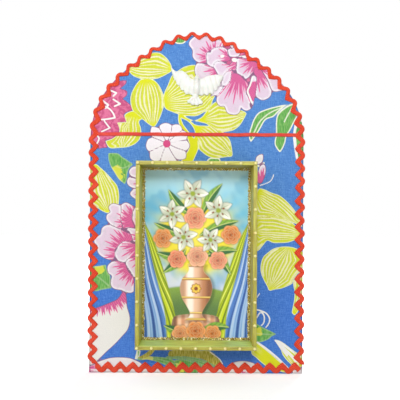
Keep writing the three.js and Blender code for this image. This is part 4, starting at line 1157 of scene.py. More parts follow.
def rounded_block(low, high, radius, seed):
    """A block with rounded edges: each point of a gridded box goes to the nearest point of a
    box smaller by the radius all round, plus the radius in the direction between them. A
    slow wave of the faces keeps them from looking machined."""
    low, high = np.asarray(low, float), np.asarray(high, float)
    near_edge = radius * np.array([0, 0.27, 0.55, 1])
    lines = []
    for a, b in zip(low, high):
        inner = np.linspace(a + radius, b - radius, max(2, int((b - a) / BOARD_CELL)))
        lines.append(np.concatenate([a + near_edge[:-1], inner, b - near_edge[:-1][::-1]]))
    points, faces, first = [], [], 0
    for axis in range(3):
        one, two = [i for i in range(3) if i != axis]
        for value in (low[axis], high[axis]):
            grid = np.zeros((len(lines[one]), len(lines[two]), 3))
            grid[..., axis] = value
            grid[..., one] = lines[one][:, None]
            grid[..., two] = lines[two][None, :]
            flip = (axis == 1) == (value == high[axis])
            made = grid_faces(*grid.shape[:2], first=first)
            faces.append(made if flip else made[:, ::-1])
            points.append(grid.reshape(-1, 3))
            first += len(points[-1])
    points = np.vstack(points)
    keys = np.round(points * 1e4).astype(np.int64)
    _, index, number = np.unique(keys, axis=0, return_index=True, return_inverse=True)
    points, faces = points[index], [number.ravel()[face] for face in faces]
    inner = np.clip(points, low + radius, high - radius)
    away = points - inner
    points = inner + radius * away / np.linalg.norm(away, axis=1)[:, None]
    chance = np.random.default_rng(seed).uniform(0, 2 * math.pi, 3)
    middle = (low + high) / 2
    span = (high - low).max()
    sway = sum(np.sin(points[:, i] / span * 9 + chance[i]) for i in range(3)) / 3
    longest = np.argmax(high - low)
    inwards = middle - points
    inwards[:, longest] = 0
    inwards /= np.maximum(np.linalg.norm(inwards, axis=1), 1e-6)[:, None]
    return points + inwards * (BOARD_WAVE * (1 + sway))[:, None], faces


# Painted light and shade on the face of each wall towards the niche, against its other faces:
# darker under the top wall, lighter on the bottom wall. Shares of red, green and blue, with the
# axis and the side that face the niche
PAINTED_FACE_LIGHT = {
    "box_floor": (1, -1, (1.0, 1.0, 0.6)), "box_top": (2, -1, (0.72, 0.65, 0.45)),
    "box_bottom": (2, 1, (1.3, 1.75, 2.7)), "box_left": (0, 1, (1.17, 1.14, 0.28)),
    "box_right": (0, -1, (1.05, 0.95, 0.35)),
}
BOX_FOOT_SHADE = (0.84, 0.81, 0.7)  # the same for painted shade that darkens the box towards its foot


def build_box():
    """The shadow box: its back panel and four walls, each a hand-cut strip with eased edges. The
    attribute coat holds painted light and shade, lighter or darker on the faces towards the niche
    and darker towards the foot of the box, and then whether the paint was brushed up and down."""
    material = olive_paint()
    foot, top = (corners("box_floor")[i][2] for i in (0, 1))
    for seed, (node, (axis, sign, inner)) in enumerate(PAINTED_FACE_LIGHT.items()):
        low, high = corners(node)
        points, faces = rounded_block(low, high, EASED_EDGE, seed + 31)
        piece = make_piece(f"painted_{node}", points, faces, material)
        # Painted shade towards the foot of the box, and painted light or shade on the face towards
        # the niche
        height = soft((points[:, 2] - foot) / (top - foot) - 0.35, 0.7)[:, None]
        coat = np.array(BOX_FOOT_SHADE) * (1 - height) + height
        face = high[axis] if sign > 0 else low[axis]
        inside = soft(0.2 - np.abs(points[:, axis] - face), 0.2)[:, None]
        upright = np.full((len(points), 1), float(node in ("box_left", "box_right")))
        write_attribute(piece, "coat", np.hstack([coat * (1 - inside) + np.array(inner) * inside,
                                                  upright]))
        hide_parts(node)


LUMP = 0.45  # mm from one lump of glitter to the next


def build_glitter():
    """Glitter run along the four inner edges of the box: a quarter-round bead of lumps."""
    material = gold_glitter()
    for seed, side in enumerate(("left", "right", "top", "bottom")):
        node = f"glitter_{side}"
        low, high = corners(node)
        along, thin = (2, 0) if side in ("left", "right") else (0, 2)
        width, height = high[thin] - low[thin], high[1] - low[1]
        count = int((high[along] - low[along]) / LUMP)
        steps = 8
        angle = np.linspace(0, math.pi / 2, steps)
        chance = np.random.default_rng(seed + 41)
        # Most lumps are small and a few stand out
        lumps = 0.85 + 0.45 * chance.random((count, steps)) ** 2.5
        grid = np.zeros((count, steps + 1, 3))
        wall, sign = (low[thin], 1) if side in ("left", "bottom") else (high[thin], -1)
        grid[:, :steps, thin] = wall + sign * width * np.cos(angle) * lumps
        grid[:, :steps, 1] = high[1] - height * np.sin(angle) * lumps
        grid[:, steps, thin] = wall
        grid[:, steps, 1] = high[1]
        grid[:, :, along] = np.linspace(low[along], high[along], count)[:, None]
        points = np.vstack([grid.reshape(-1, 3), grid[0].mean(0), grid[-1].mean(0)])
        piece = make_piece(f"glitter_bead_{side}", points, tube_faces(count, steps + 1), material,
                           smooth=False)
        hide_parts(node)


def build_pearls():
    """Half pearls: a dome of revolution on a flat foot, whose radius is the cosine and whose
    height is the sine of one angle."""
    material = pearl_plastic()
    sides, levels = 24, 7
    turn = 2 * math.pi * np.arange(sides) / sides
    climb = np.linspace(0, math.pi / 2, levels + 1)[:-1, None]
    dome = np.stack([np.cos(climb) * np.cos(turn), -np.sin(climb) + 0 * turn,
                     np.cos(climb) * np.sin(turn)], axis=-1)
    dome = np.vstack([dome.reshape(-1, 3), [0, 0, 0], [0, -1, 0]])
    for node in sorted(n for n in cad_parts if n.startswith("pearl_")):
        low, high = corners(node)
        radius, height = (high[0] - low[0]) / 2, high[1] - low[1]
        foot = [(low[0] + high[0]) / 2, high[1], (low[2] + high[2]) / 2]
        piece = make_piece(f"half_{node}", foot + dome * [radius, height, radius],
                           tube_faces(levels, sides), material,
                           sharp=math.radians(50))
        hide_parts(node)


# The card's picture


def soft(value, width=0.8):
    """A mask from a depth in millimetres: 0 outside, 1 inside, eased over width."""
    t = np.clip(value / width + 0.5, 0, 1)
    return t * t * (3 - 2 * t)


def lay_inks(ink, *layers):
    """Inks over what is printed, one after another, each by its own mask."""
    for mask, colour in layers:
        ink = ink * (1 - mask[:, None]) + np.array(linear(colour)[:3]) * mask[:, None]
    return ink


def shade_ink(ink, mask, amount):
    """Darkens or lightens what is printed, by a mask."""
    return ink * (1 + mask[:, None] * amount)


def form_depth(at, points):
    """Depth inside a smooth closed form, worked out only near it."""
    line = smooth_line(points)
    near = nearby(at, line, 2.0)
    depth = np.full(len(at), -2.0)
    depth[near] = edge_distance(at[near], line)
    return depth


# The picture, in millimetres from the card's centre: lilies and roses in an urn that stands
# on a draped altar, before a golden glow. Outlines are x, z, x, z as those of the print
URN_SIDE = (6.5, -8, 5.6, -11, 6.2, -14, 10.5, -19, 12.5, -26, 11, -34, 7, -41, 4.6, -46,
            5.4, -49, 9, -52)
HILL = (-46, -34, -24, -27, 0, -25, 22, -29, 46, -37, 46, -70, -46, -70)
ALTAR = (-17, -49, 17, -49, 19, -70, -19, -70)
DRAPE = (-46, 34, -39, 22, -32, 4, -26, -20, -20, -45, -18, -70, -46, -70)
LINING = (-41, 25, -33, 10, -25, -14, -18, -40, -14, -63, -17, -70, -22, -70, -24, -48,
          -29.5, -24, -36, 2)
GATHER = (46.0, 38.0)  # where the cloths are gathered, to the side and up
# Inks of the cloths: ground, light, brightest, dark and darkest
BLUE_CLOTH = ("6FA0E2", "ACCBF6", "E4EEFF", "3568BE", "24468F")
LIME_CLOTH = ("B9CC00", "DEE82A", "F4F88C", "7C9400", "4E6608")
# Lily: heart, length of its petals and its turn
LILIES = (
    ((-3, 47), 12.5, 0.0), ((-19, 31), 11.5, 0.5), ((17, 34), 12, -0.6),
    ((-10, 13), 11.5, 0.25), ((11, 11), 10.5, 1.0),
)
# Rose: heart, radius and ink
ROSES = (
    ((-1, 28), 8.5, "FF9C7C"), ((-26, 12), 7.5, "F5942C"), ((27, 15), 7.5, "F08A2E"),
    ((-15, -4), 7, "FF8A66"), ((17, -5), 7, "FF9C7C"), ((1, -2), 8, "FFB896"),
    ((-12, -62), 6.5, "FFA766"), ((13, -62), 6.5, "F5942C"), ((0, -60), 7.5, "F08A2E"),
)
# Leaf: its two ends
LEAF_SPRAYS = (
    ((-5, -2), (-31, 1)), ((6, -2), (32, 3)), ((0, 14), (-33, 24)), ((2, 14), (33, 26)),
    ((-4, 30), (-22, 50)), ((4, 30), (20, 55)), ((-8, 4), (-26, -15)), ((9, 4), (27, -16)),
    ((-4, -60), (-25, -56)), ((4, -60), (26, -57)),
)
PICTURE_HEIGHT = 134.0  # a little more than the card's, over which the sky's colours run
GLOW_CENTRE, GLOW_RADIUS, GLOW_RAYS = (0, 14), 30.0, 24


def sky_and_glow(x, z):
    """Sky from pale blue at the top over turquoise to lilac, clouds, and the golden glow, whose
    discs fall off as an even power of the distance."""
    height = (z + PICTURE_HEIGHT / 2) / PICTURE_HEIGHT
    swirl = (np.sin(x * 0.11 + 2 * np.sin(z * 0.06)) + np.sin(z * 0.16 + x * 0.05)
             + 0.5 * np.sin(x * 0.33 - z * 0.24) + 0.3 * np.sin(x * 0.7 + z * 0.5))
    away = np.hypot(x - GLOW_CENTRE[0], z - GLOW_CENTRE[1]) / GLOW_RADIUS
    bearing = np.arctan2(z - GLOW_CENTRE[1], x - GLOW_CENTRE[0])
    rays = 0.5 + 0.5 * np.sin(bearing * GLOW_RAYS)
    return lay_inks(
        np.zeros((len(x), 3)) + np.array(linear("C3CCE2")[:3]),
        (soft(height - 0.36, 0.36), "8FCBE6"),
        (soft(height - 0.6, 0.3), "79C8E6"),
        (soft(height - 0.88, 0.26), "C4EEFA"),
        (0.65 * soft(swirl - 0.5, 1.8) * soft(0.66 - height, 0.5), "ECEDF6"),
        (0.45 * soft(-swirl - 0.7, 1.6), "4FA8D6"),
        (0.7 * np.exp(-((away / 1.12) ** 10)), "CFDD8C"),
        (0.28 * rays * np.exp(-((away / 1.35) ** 8)), "F0EC96"),
        (np.exp(-(away**14)), "F8E326"),
        (0.6 * np.exp(-((away / 0.6) ** 4)), "FFEF62"),
    )


def hung_cloth(ink, at, sign, outline, folds, inks):
    """Cloth hung on one side from a gathered knot: folds fan out from it, each with a light
    back, a white edge and a dark valley."""
    x, z = at.T
    depth = form_depth(at, np.reshape(outline, (-1, 2)) * [-sign, 1])
    inside = soft(depth)
    away_x, away_z = x * sign - GATHER[0], GATHER[1] - z
    reach = np.hypot(away_x, away_z)
    bearing = np.arctan2(away_x, away_z) + 0.012 * np.sin(reach * 0.09) + 0.0004 * reach
    fold = (np.sin(bearing * folds) + 0.55 * np.sin(bearing * folds * 2.3 + 1 + reach * 0.03)
            + 0.25 * np.sin(bearing * folds * 4.1 + 2))
    ground, light, brightest, dark, darkest = inks
    return lay_inks(
        ink,
        (inside, ground),
        (inside * 0.9 * soft(fold - 0.35, 1.1), light),
        (inside * 0.6 * soft(fold - 1.05, 0.6), brightest),
        (inside * 0.85 * soft(-fold - 0.3, 0.9), dark),
        (inside * 0.7 * soft(-fold - 1.0, 0.5), darkest),
        (inside * 0.55 * soft(0.9 - depth, 0.9), dark),
    )


def urn_and_altar(ink, at):
    """The altar's front between the cloths, and the urn with its gold bands."""
    x, z = at.T
    inside = soft(form_depth(at, ALTAR))
    ink = lay_inks(
        ink,
        (inside, "F0B48E"),
        (inside * 0.7 * soft(np.sin(x * 1.1) - 0.3, 0.8), "D08C66"),
        (inside * 0.6 * soft(-np.sin(x * 1.1) - 0.4, 0.6), "FAD6B8"),
        (inside * 0.8 * soft(np.abs(x) - 15, 3), "5A3B26"),
    )
    ink = shade_ink(ink, inside * soft(z + 50, 3), -0.45)
    side = np.reshape(URN_SIDE, (-1, 2))
    urn = np.vstack([side, side[::-1] * [-1, 1]])
    inside = soft(form_depth(at, urn))
    ink = shade_ink(ink, soft(form_depth(at - [1.5, -1], urn) + 1, 3) * (1 - inside), -0.5)
    ink = lay_inks(
        ink,
        (inside, "EFC3A0"),
        (inside * soft(x - 3, 7), "BC7E54"),
        (inside * 0.8 * soft(x - 8, 4), "7A4729"),
        (inside * 0.9 * soft(2.6 - np.abs(x + 4.5), 3), "FFF6E8"),
        (inside * 0.7 * soft(-x - 8.5, 3), "B27F5C"),
    )
    for level, thick in ((-19.5, 1.0), (-34, 0.8), (-46, 0.7), (-9, 1.1), (-51, 1.1)):
        band = inside * soft(thick - np.abs(z - level))
        ink = lay_inks(ink, (band, "A86F16"),
                       (band * soft(0.4 - np.abs(z - level - 0.3), 0.4), "FBDD74"))
    lobes = 3.4 + 0.9 * np.abs(np.cos(4 * np.arctan2(z + 27, x)))
    boss = np.hypot(x, z + 27)
    return lay_inks(ink, (soft(lobes - boss), "A86F16"), (soft(lobes - 0.8 - boss), "F3CB4E"),
                    (soft(1.5 - boss), "8A4A14"))


def blade(at, start, end, half_width, bend, blunt=0.8):
    """A pointed leaf or petal between two places. It gives the points near it, the distance
    along from 0 to 1, the distance across and the depth inside its edge."""
    start, end = np.array(start, float), np.array(end, float)
    axis = end - start
    length = np.hypot(*axis)
    near = np.hypot(*(at - (start + end) / 2).T) < length / 2 + half_width
    axis /= length
    away = at[near] - start
    run = (away @ axis) / length
    along = np.clip(run, 0, 1)
    across = away @ np.array([-axis[1], axis[0]]) - bend * np.sin(math.pi * along)
    depth = (half_width * np.sin(math.pi * along) ** blunt - np.abs(across)
             - length * np.abs(run - along))
    return near, along, across, depth


def leaf_spray(ink, at, start, end):
    """A pointed leaf, bent a little, with a light midrib, side veins and a dark half."""
    near, along, across, depth = blade(at, start, end, 3.4, 2.0)
    inside = soft(depth, 0.5)
    veins = soft(np.sin(along * 34 - np.abs(across) * 2.2) - 0.4, 0.6)
    ink[near] = lay_inks(
        shade_ink(ink[near], soft(depth + 0.6, 1.2), -0.25),
        (inside, "2E6B34"),
        (inside * soft(across, 1.2) * 0.85, "8CBB3C"),
        (inside * 0.35 * veins, "1F4C2A"),
        (inside * soft(0.3 - np.abs(across), 0.5) * 0.8, "DCE58C"),
    )
    return ink


def rose_bloom(ink, at, centre, radius, colour):
    """A rose: rounds of petals from the outside in, each a disc with a light rim and a dark
    hollow towards the heart."""
    near = np.hypot(*(at - centre).T) < radius * 1.25
    place, part = at[near] - centre, ink[near]
    away = np.hypot(*place.T)
    part = shade_ink(part, soft(radius * 1.08 - away, 1.8), -0.3)
    for ring, count in enumerate((6, 5, 4, 3)):
        offset, size = radius * (0.55 - 0.14 * ring), radius * (0.5 - 0.08 * ring)
        for step in range(count):
            turn = 2 * math.pi * (step + 0.37 * ring) / count + ring
            middle = np.array([math.cos(turn), math.sin(turn)]) * offset
            depth = size - np.hypot(*(place - middle).T)
            inside = soft(depth, 0.4)
            hollow = inside * soft(radius * 0.8 - away, radius * 0.9)
            rim = soft(size * 0.35 - depth, size * 0.4)
            part = lay_inks(part, (inside, colour), (hollow * 0.6, "A3340F"),
                            (inside * 0.3 * rim, "FFE0A8"))
            part = shade_ink(part, inside * soft(0.3 - depth, 0.3), -0.3)
    ink[near] = shade_ink(part, soft(radius * 0.14 - away, 0.6), -0.4)
    return ink


def lily_bloom(ink, at, centre, radius, turned):
    """A lily: three pointed petals behind and three before, with a green groove, grey towards
    the throat, and brown anthers round it."""
    centre = np.array(centre, float)
    for step in (1, 3, 5, 0, 2, 4):
        turn = math.pi * step / 3 + turned
        out = np.array([math.cos(turn), math.sin(turn)])
        near, along, across, depth = blade(at, centre - out * radius * 0.12,
                                           centre + out * radius, radius * 0.27, 0.5, 0.85)
        inside = soft(depth, 0.4)
        groove = soft(0.28 - np.abs(across), 0.4) * soft(0.8 - along, 0.3)
        ink[near] = lay_inks(
            shade_ink(ink[near], soft(depth + 0.7, 1.4), -0.3),
            (inside, "E9E9DC" if step % 2 else "FFFDF2"),
            (inside * 0.6 * soft(across - 0.6, 2.2), "C3C8B4"),
            (inside * 0.6 * soft(0.55 - along, 0.5), "A9B48E"),
            (inside * 0.7 * groove, "8EA35C"),
            (inside * 0.6 * soft(0.4 - depth, 0.4), "8F9480"),
        )
    away = np.hypot(*(at - centre).T)
    turn = np.arctan2(at[:, 1] - centre[1], at[:, 0] - centre[0]) - turned
    anther = soft(np.cos(6 * turn + 0.5) - 0.72, 0.25) * soft(0.9 - np.abs(away - radius * 0.36))
    return lay_inks(ink, (soft(radius * 0.16 - away, 1.4), "93A62A"), (anther, "8A3D10"))


def picture(at):
    """The card's picture as linear colours at these points, painted from back to front."""
    ink = sky_and_glow(*at.T)
    depth = form_depth(at, HILL)
    ink = lay_inks(ink, (soft(depth, 2), "8DAE3E"), (0.8 * soft(depth - 6, 24), "3E6438"))
    for sign in (-1, 1):
        ink = hung_cloth(ink, at, sign, DRAPE, 84, BLUE_CLOTH)
        ink = hung_cloth(ink, at, sign, LINING, 120, LIME_CLOTH)
    ink = urn_and_altar(ink, at)
    for start, end in LEAF_SPRAYS:
        ink = leaf_spray(ink, at, start, end)
    for centre, radius, colour_code in ROSES:
        ink = rose_bloom(ink, at, centre, radius, colour_code)
    for centre, radius, turned in LILIES:
        ink = lily_bloom(ink, at, centre, radius, turned)
    return np.clip(ink, 0, 1)


def build_card():
    """The printed card: a plate of fine cells, each point inked by the picture's formula."""
    low, high = corners("devotional_print")
    cell = bpy.context.scene.shrine.card_cell / MM
    columns, rows = (int((high[i] - low[i]) / cell) + 1 for i in (0, 2))
    x, z = np.meshgrid(np.linspace(low[0], high[0], columns), np.linspace(low[2], high[2], rows))
    front = np.column_stack([x.ravel(), np.full(x.size, low[1]), z.ravel()])
    rim = rim_numbers(rows, columns)
    back = front[rim] + [0, high[1] - low[1], 0]
    behind = len(front) + np.arange(len(rim))
    middle = (low + high) / 2
    faces = [grid_faces(rows, columns)[:, ::-1], band_faces(rim, behind),
             fan_faces(behind, len(front) + len(rim))]
    points = np.vstack([front, back, [middle[0], high[1], middle[2]]])
    piece = make_piece("altar_card", points, faces, coated_card(),
                       sharp=math.radians(30))
    write_attribute(piece, "ink", picture(points[:, [0, 2]] - middle[[0, 2]]))
    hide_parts("devotional_print")


# The dove, in millimetres from the middle of its wings: the leading and the trailing edge of
# each wing from the shoulder to the tip, as x, z, x, z, then its tail
DOVE_WINGS = (
    ((-1.5, 4, -3.4, 4.2, -6.2, 6, -8.6, 8.9, -12.6, 11.2, -15.9, 10.4, -18.6, 11.8, -20.9, 14.9),
     (-1.5, -7.2, -4, -7.6, -7.1, -7.2, -10.1, -5.7, -13.7, -1.6, -16.9, 2.6, -19, 6.4,
      -20.7, 12.2)),
    ((1, 4.2, 4.4, 5.3, 8.1, 7.1, 12, 7.8, 16, 8, 20.3, 7.3),
     (1, -7.6, 4.5, -7.7, 8.1, -7.3, 12.9, -5.8, 17.1, -0.4, 20.2, 6.3)),
)
WING_FEATHERS, TAIL_FEATHERS = 6, 4
TAIL_NECK, TAIL_RADIUS = (-1.2, -7.0), 8.9
TAIL_FROM, TAIL_TO = math.radians(218), math.radians(313)
# Balls that make the breast, the shoulders, the head, the beak and the root of the tail: the
# middle to the right, in front of the back plane and up, then half the size each way. A depth
# with a minus is counted back from the dove's own
DOVE_BALLS = (
    ((-0.4, 0.2, -2.0), (3.4, -1.0, 6.6)), ((-0.3, 0.4, 2.2), (2.5, -1.2, 3.6)),
    ((-0.3, 2.2, 4.6), (2.1, -2.4, 2.3)), ((-0.6, 2.6, 7.0), (0.7, 0.8, 1.4)),
    ((-1.0, 0.0, -8.0), (2.0, 2.4, 4.0)),
)
CASTING_DETAIL = 0.32 * MM  # the smallest form that the mould of the dove took


def closed_relief(outer, base):
    """A relief on a flat back: its front grid and the same grid pressed to the back plane,
    joined along their rims."""
    back = outer.copy()
    back[..., 1] = base
    points = np.vstack([outer.reshape(-1, 3), back.reshape(-1, 3)])
    total = len(points) // 2
    front, rim = grid_faces(*outer.shape[:2]), rim_numbers(*outer.shape[:2])
    return points, [front[:, ::-1], front + total, band_faces(rim, rim + total)[:, ::-1]]


def wing_relief(leading, trailing, base):
    """A wing between two edges: across it the depth follows half a sine, thinner towards the
    tip, and each feather is a ridge that runs out to a round end past the trailing edge."""
    rows, columns = 120, 30
    lead = resample(smooth_line(leading, closed=False), rows)
    trail = resample(smooth_line(trailing, closed=False), rows)
    u = np.linspace(0, 1, rows)[:, None]
    v = np.linspace(0, 1, columns)[None, :]
    ridge = np.abs(np.sin(math.pi * WING_FEATHERS * u)) ** 0.7
    reach = v * (1 + 0.13 * (ridge - 0.6) * v**2)
    flat = lead[:, None] * (1 - reach[..., None]) + trail[:, None] * reach[..., None]
    depth = 0.9 + 2.0 * np.sin(math.pi * np.clip(v * 0.8 + 0.1, 0, 1)) ** 0.8 * (1 - 0.45 * u)
    depth = depth * (0.75 + 0.25 * (1 - v)) + 0.55 * (ridge - 0.5) * v**1.5
    scallop = 0.18 * np.sin(math.pi * np.clip(v / 0.45, 0, 1)) * np.cos(math.pi * 10 * u)
    return np.stack([flat[..., 0], base - np.maximum(depth + scallop, 0.6), flat[..., 1]],
                    axis=-1)


def tail_relief(neck, base):
    """The tail: a fan about its neck, each feather a ridge with a round end."""
    rows, columns = 80, 24
    turn = np.linspace(TAIL_FROM, TAIL_TO, rows)[:, None]
    out = np.linspace(0.12, 1, columns)[None, :]
    ridge = np.abs(np.sin(math.pi * TAIL_FEATHERS * np.linspace(0, 1, rows)))[:, None] ** 0.7
    radius = TAIL_RADIUS * out * (1 + 0.1 * (ridge - 0.6) * out**2)
    depth = 1.6 - 0.5 * out + 0.9 * (ridge - 0.4) * out
    return np.stack([neck[0] + radius * np.cos(turn), base - depth + 0 * radius,
                     neck[1] + radius * np.sin(turn)], axis=-1)


def ball_points(centre, half, rows=24, columns=32):
    """A ball stretched along its axes, from its south pole to its north pole."""
    tilt = np.linspace(-math.pi / 2, math.pi / 2, rows)[1:-1, None]
    turn = (2 * math.pi * np.arange(columns) / columns)[None, :]
    grid = np.stack([np.cos(tilt) * np.cos(turn), np.cos(tilt) * np.sin(turn),
                     np.sin(tilt) + 0 * turn], axis=-1)
    poles = np.array([[0, 0, -1.0], [0, 0, 1.0]])
    points = np.vstack([grid.reshape(-1, 3), poles]) * half + centre
    return points, tube_faces(rows - 2, columns)


def build_dove():
    """The dove: two feathered wings, a fan tail, a domed body, a head and a beak, fused by a
    voxel remesh and smoothed as a casting is."""
    look = bpy.context.scene.shrine
    low, high = corners("dove")
    base = high[1]
    centre = np.array([0, look.dove_height / MM])
    forms = []
    for wing in DOVE_WINGS:
        leading, trailing = (np.reshape(edge, (-1, 2)) + centre for edge in wing)
        forms.append(closed_relief(wing_relief(leading, trailing, base), base))
    forms.append(closed_relief(tail_relief(centre + TAIL_NECK, base), base))
    for (right, out, up), (wide, deep, tall) in DOVE_BALLS:
        deep = deep if deep > 0 else base - low[1] + deep
        forms.append(ball_points([centre[0] + right, base - out, centre[1] + up],
                                 [wide, deep, tall]))
    points, faces, first = [], [], 0
    for form_points, form_faces in forms:
        if enclosed(form_points - form_points.mean(0), form_faces) < 0:
            form_faces = [face[:, ::-1] for face in form_faces]
        points.append(form_points)
        faces += [face + first for face in form_faces]
        first += len(form_points)
    points = np.vstack(points)
    piece = make_piece("resin_dove", points, faces, white_resin(),
                       closed=False)
    remesh = piece.modifiers.new("fuse", "REMESH")
    remesh.mode, remesh.voxel_size, remesh.use_smooth_shade = "VOXEL", CASTING_DETAIL, True
    ease = piece.modifiers.new("ease", "SMOOTH")
    ease.factor, ease.iterations = 0.5, 3
    apply_modifiers(piece)
    spots = np.zeros(len(piece.data.vertices) * 3, np.float32)
    piece.data.vertices.foreach_get("co", spots)
    spots = spots.reshape(-1, 3)
    spots[:, 1] = np.minimum(spots[:, 1], base * MM)
    piece.data.vertices.foreach_set("co", spots.ravel())
    piece.data.update()
    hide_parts("dove")


def build_hanger():
    """The ring's wire, round and smooth, bent from one length: a straight bar in the strap's
    eye, two sides and a round far end. The strap and screws keep their CAD solids."""
    look = bpy.context.scene.shrine
    low, high = corners("hanger_ring")
    wire = (high[1] - low[1]) / 2
    depth = (low[1] + high[1]) / 2
    top = high[2] - wire
    half = (high[0] - low[0]) / 2 - wire
    far = low[2] + wire + half
    corner = look.ring_corner / MM
    quarter = np.linspace(0, math.pi / 2, 9)
    bend = np.linspace(0, math.pi, 33)
    right = np.stack([half - corner + corner * np.sin(quarter),
                      top - corner + corner * np.cos(quarter)], axis=1)
    round_end = np.stack([half * np.cos(bend), far - half * np.sin(bend)], axis=1)
    left = right[::-1] * [-1, 1]
    line = np.vstack([right, round_end, left])
    line = resample(np.vstack([line, line[:1]]), 181)[:-1]
    step = np.roll(line, -1, axis=0) - np.roll(line, 1, axis=0)
    side = np.stack([step[:, 1], -step[:, 0]], axis=1) / np.hypot(*step.T)[:, None]
    sides = 14
    angle = 2 * math.pi * np.arange(sides) / sides
    spots = line[:, None] + side[:, None] * (wire * np.cos(angle))[None, :, None]
    points = np.stack([spots[..., 0], depth + wire * np.sin(angle) + 0 * spots[..., 0],
                       spots[..., 1]], axis=-1).reshape(-1, 3)
    faces = [grid_faces(len(line), sides, closed_rows=True, closed_columns=True)]
    material = plated_metal("Nickel-plated steel wire", linear("C9CBCC"), 0.22, 0.12)
    piece = make_piece("wire_ring", points, faces, material, body="hanger_ring")
    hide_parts("hanger_ring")
    tin = plated_metal("Brassed tin plate", linear("C9B877"), 0.35, 0.15)
    zinc = plated_metal("Zinc-plated steel", linear("B9BCBE"), 0.35, 0.15)
    for node, metal in (("hanger_strap", tin), ("hanger_screw_upper", zinc),
                        ("hanger_screw_lower", zinc), ("backboard", raw_board())):
        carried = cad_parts[node]
        carried.data.materials.clear()
        carried.data.materials.append(metal)


# Stage


def seen_share(tree):
    """1 for the rays of the camera, gloss and glass, and 0 for the light that falls on
    things."""
    seen = add(tree, "ShaderNodeLightPath", {}, {}, "Is Camera Ray").node
    plain = add(tree, MATHS, HIGHER,
                {0: seen.outputs["Is Camera Ray"], 1: seen.outputs["Is Glossy Ray"]})
    return add(tree, MATHS, HIGHER, {0: plain, 1: seen.outputs["Is Transmission Ray"]})


FLOOR_GAP = 0.2 * MM  # below the foot, so that the floor's face and the foot's don't meet


def build_stage():
    """A plain white floor whose glow for the camera is weaker near the shrine, a painted shade
    round its foot beside its real shadow, a white backdrop that only the camera, gloss and glass
    see, soft lamps and the camera."""
    look = bpy.context.scene.shrine
    scene = bpy.context.scene
    mesh = bpy.data.meshes.new("floor")
    reach = look.floor_reach
    mesh.from_pydata([(-reach, -reach, 0), (reach, -reach, 0), (reach, reach, 0),
                      (-reach, reach, 0)], [], [(0, 1, 2, 3)])
    floor = bpy.data.objects.new("floor", mesh)
    floor.location.z = -FLOOR_GAP
    scene.collection.objects.link(floor)
    material, tree, shader = blank("Matt white floor", 0.95)
    shader.inputs["Base Color"].default_value = linear("F4F4F4")
    shader.inputs["Emission Color"].default_value = (1, 1, 1, 1)
    # Painted shade: the floor glows less for the camera near the shrine
    place = add(tree, COORDINATES, {}, {}, "Object")
    away = add(tree, "ShaderNodeVectorMath", {"operation": "LENGTH"}, {0: place}, "Value")
    glow = add(tree, RANGE, SMOOTH, {"Value": away, "From Min": look.shade_reach * 0.3,
                                     "From Max": look.shade_reach, "To Min": look.floor_glow,
                                     "To Max": 1.0})
    tree.links.new(add(tree, MATHS, TIMES, {0: seen_share(tree), 1: glow}),
                   shader.inputs["Emission Strength"])
    mesh.materials.append(material)

    world = bpy.data.worlds.new("studio")
    scene.world = world
    world.use_nodes = True
    tree = world.node_tree
    tree.nodes.clear()
    strength = add(tree, RANGE, {}, {"Value": seen_share(tree), "To Min": look.fill,
                                     "To Max": 1.0})
    light = add(tree, "ShaderNodeBackground", {}, {"Color": (1, 1, 1, 1),
                                                   "Strength": strength})
    out = tree.nodes.new("ShaderNodeOutputWorld")
    tree.links.new(light, out.inputs["Surface"])

    for name, spot, target, size, power in (
        ("key", (-0.02, -0.95, 0.62), (0, 0, 0.16), 0.4, look.key_power),
        ("side", (-0.7, -0.6, 0.35), (0, 0, 0.13), 0.6, look.side_power),
        ("back", (0.3, 0.8, 0.7), (0, 0, 0.13), 0.6, look.key_power),
    ):
        lamp = bpy.data.lights.new(name, "AREA")
        lamp.shape, lamp.size, lamp.energy = "DISK", size, power
        holder = bpy.data.objects.new(name, lamp)
        holder.location = spot
        aim = Vector(target) - Vector(spot)
        holder.rotation_euler = aim.to_track_quat("-Z", "Y").to_euler()
        scene.collection.objects.link(holder)

    data = bpy.data.cameras.new("camera")
    data.sensor_width, data.lens = 36.0, look.lens
    data.shift_x, data.shift_y = look.shift_x, look.shift_y
    camera = bpy.data.objects.new("camera", data)
    camera.location = (look.camera_x, -look.camera_distance, look.camera_height)
    camera.rotation_euler = (math.pi / 2, -look.camera_roll, 0)
    scene.collection.objects.link(camera)
    scene.camera = camera
    scene.view_settings.view_transform = "Standard"


# Settings, operators and panel


def length(name, description, default):
    """A setting in metres."""
    return bpy.props.FloatProperty(name=name, description=description, default=default,
                                   subtype="DISTANCE", unit="LENGTH", precision=4)


def colour(name, description, code):
    """A colour setting, whose default is a hex code."""
    return bpy.props.FloatVectorProperty(name=name, description=description, size=4,
                                         default=linear(code), subtype="COLOR", min=0, max=1)


def number(name, description, default, subtype="FACTOR"):
    """A setting that is a share, or of another subtype."""
    return bpy.props.FloatProperty(name=name, description=description, default=default,
                                   subtype=subtype)


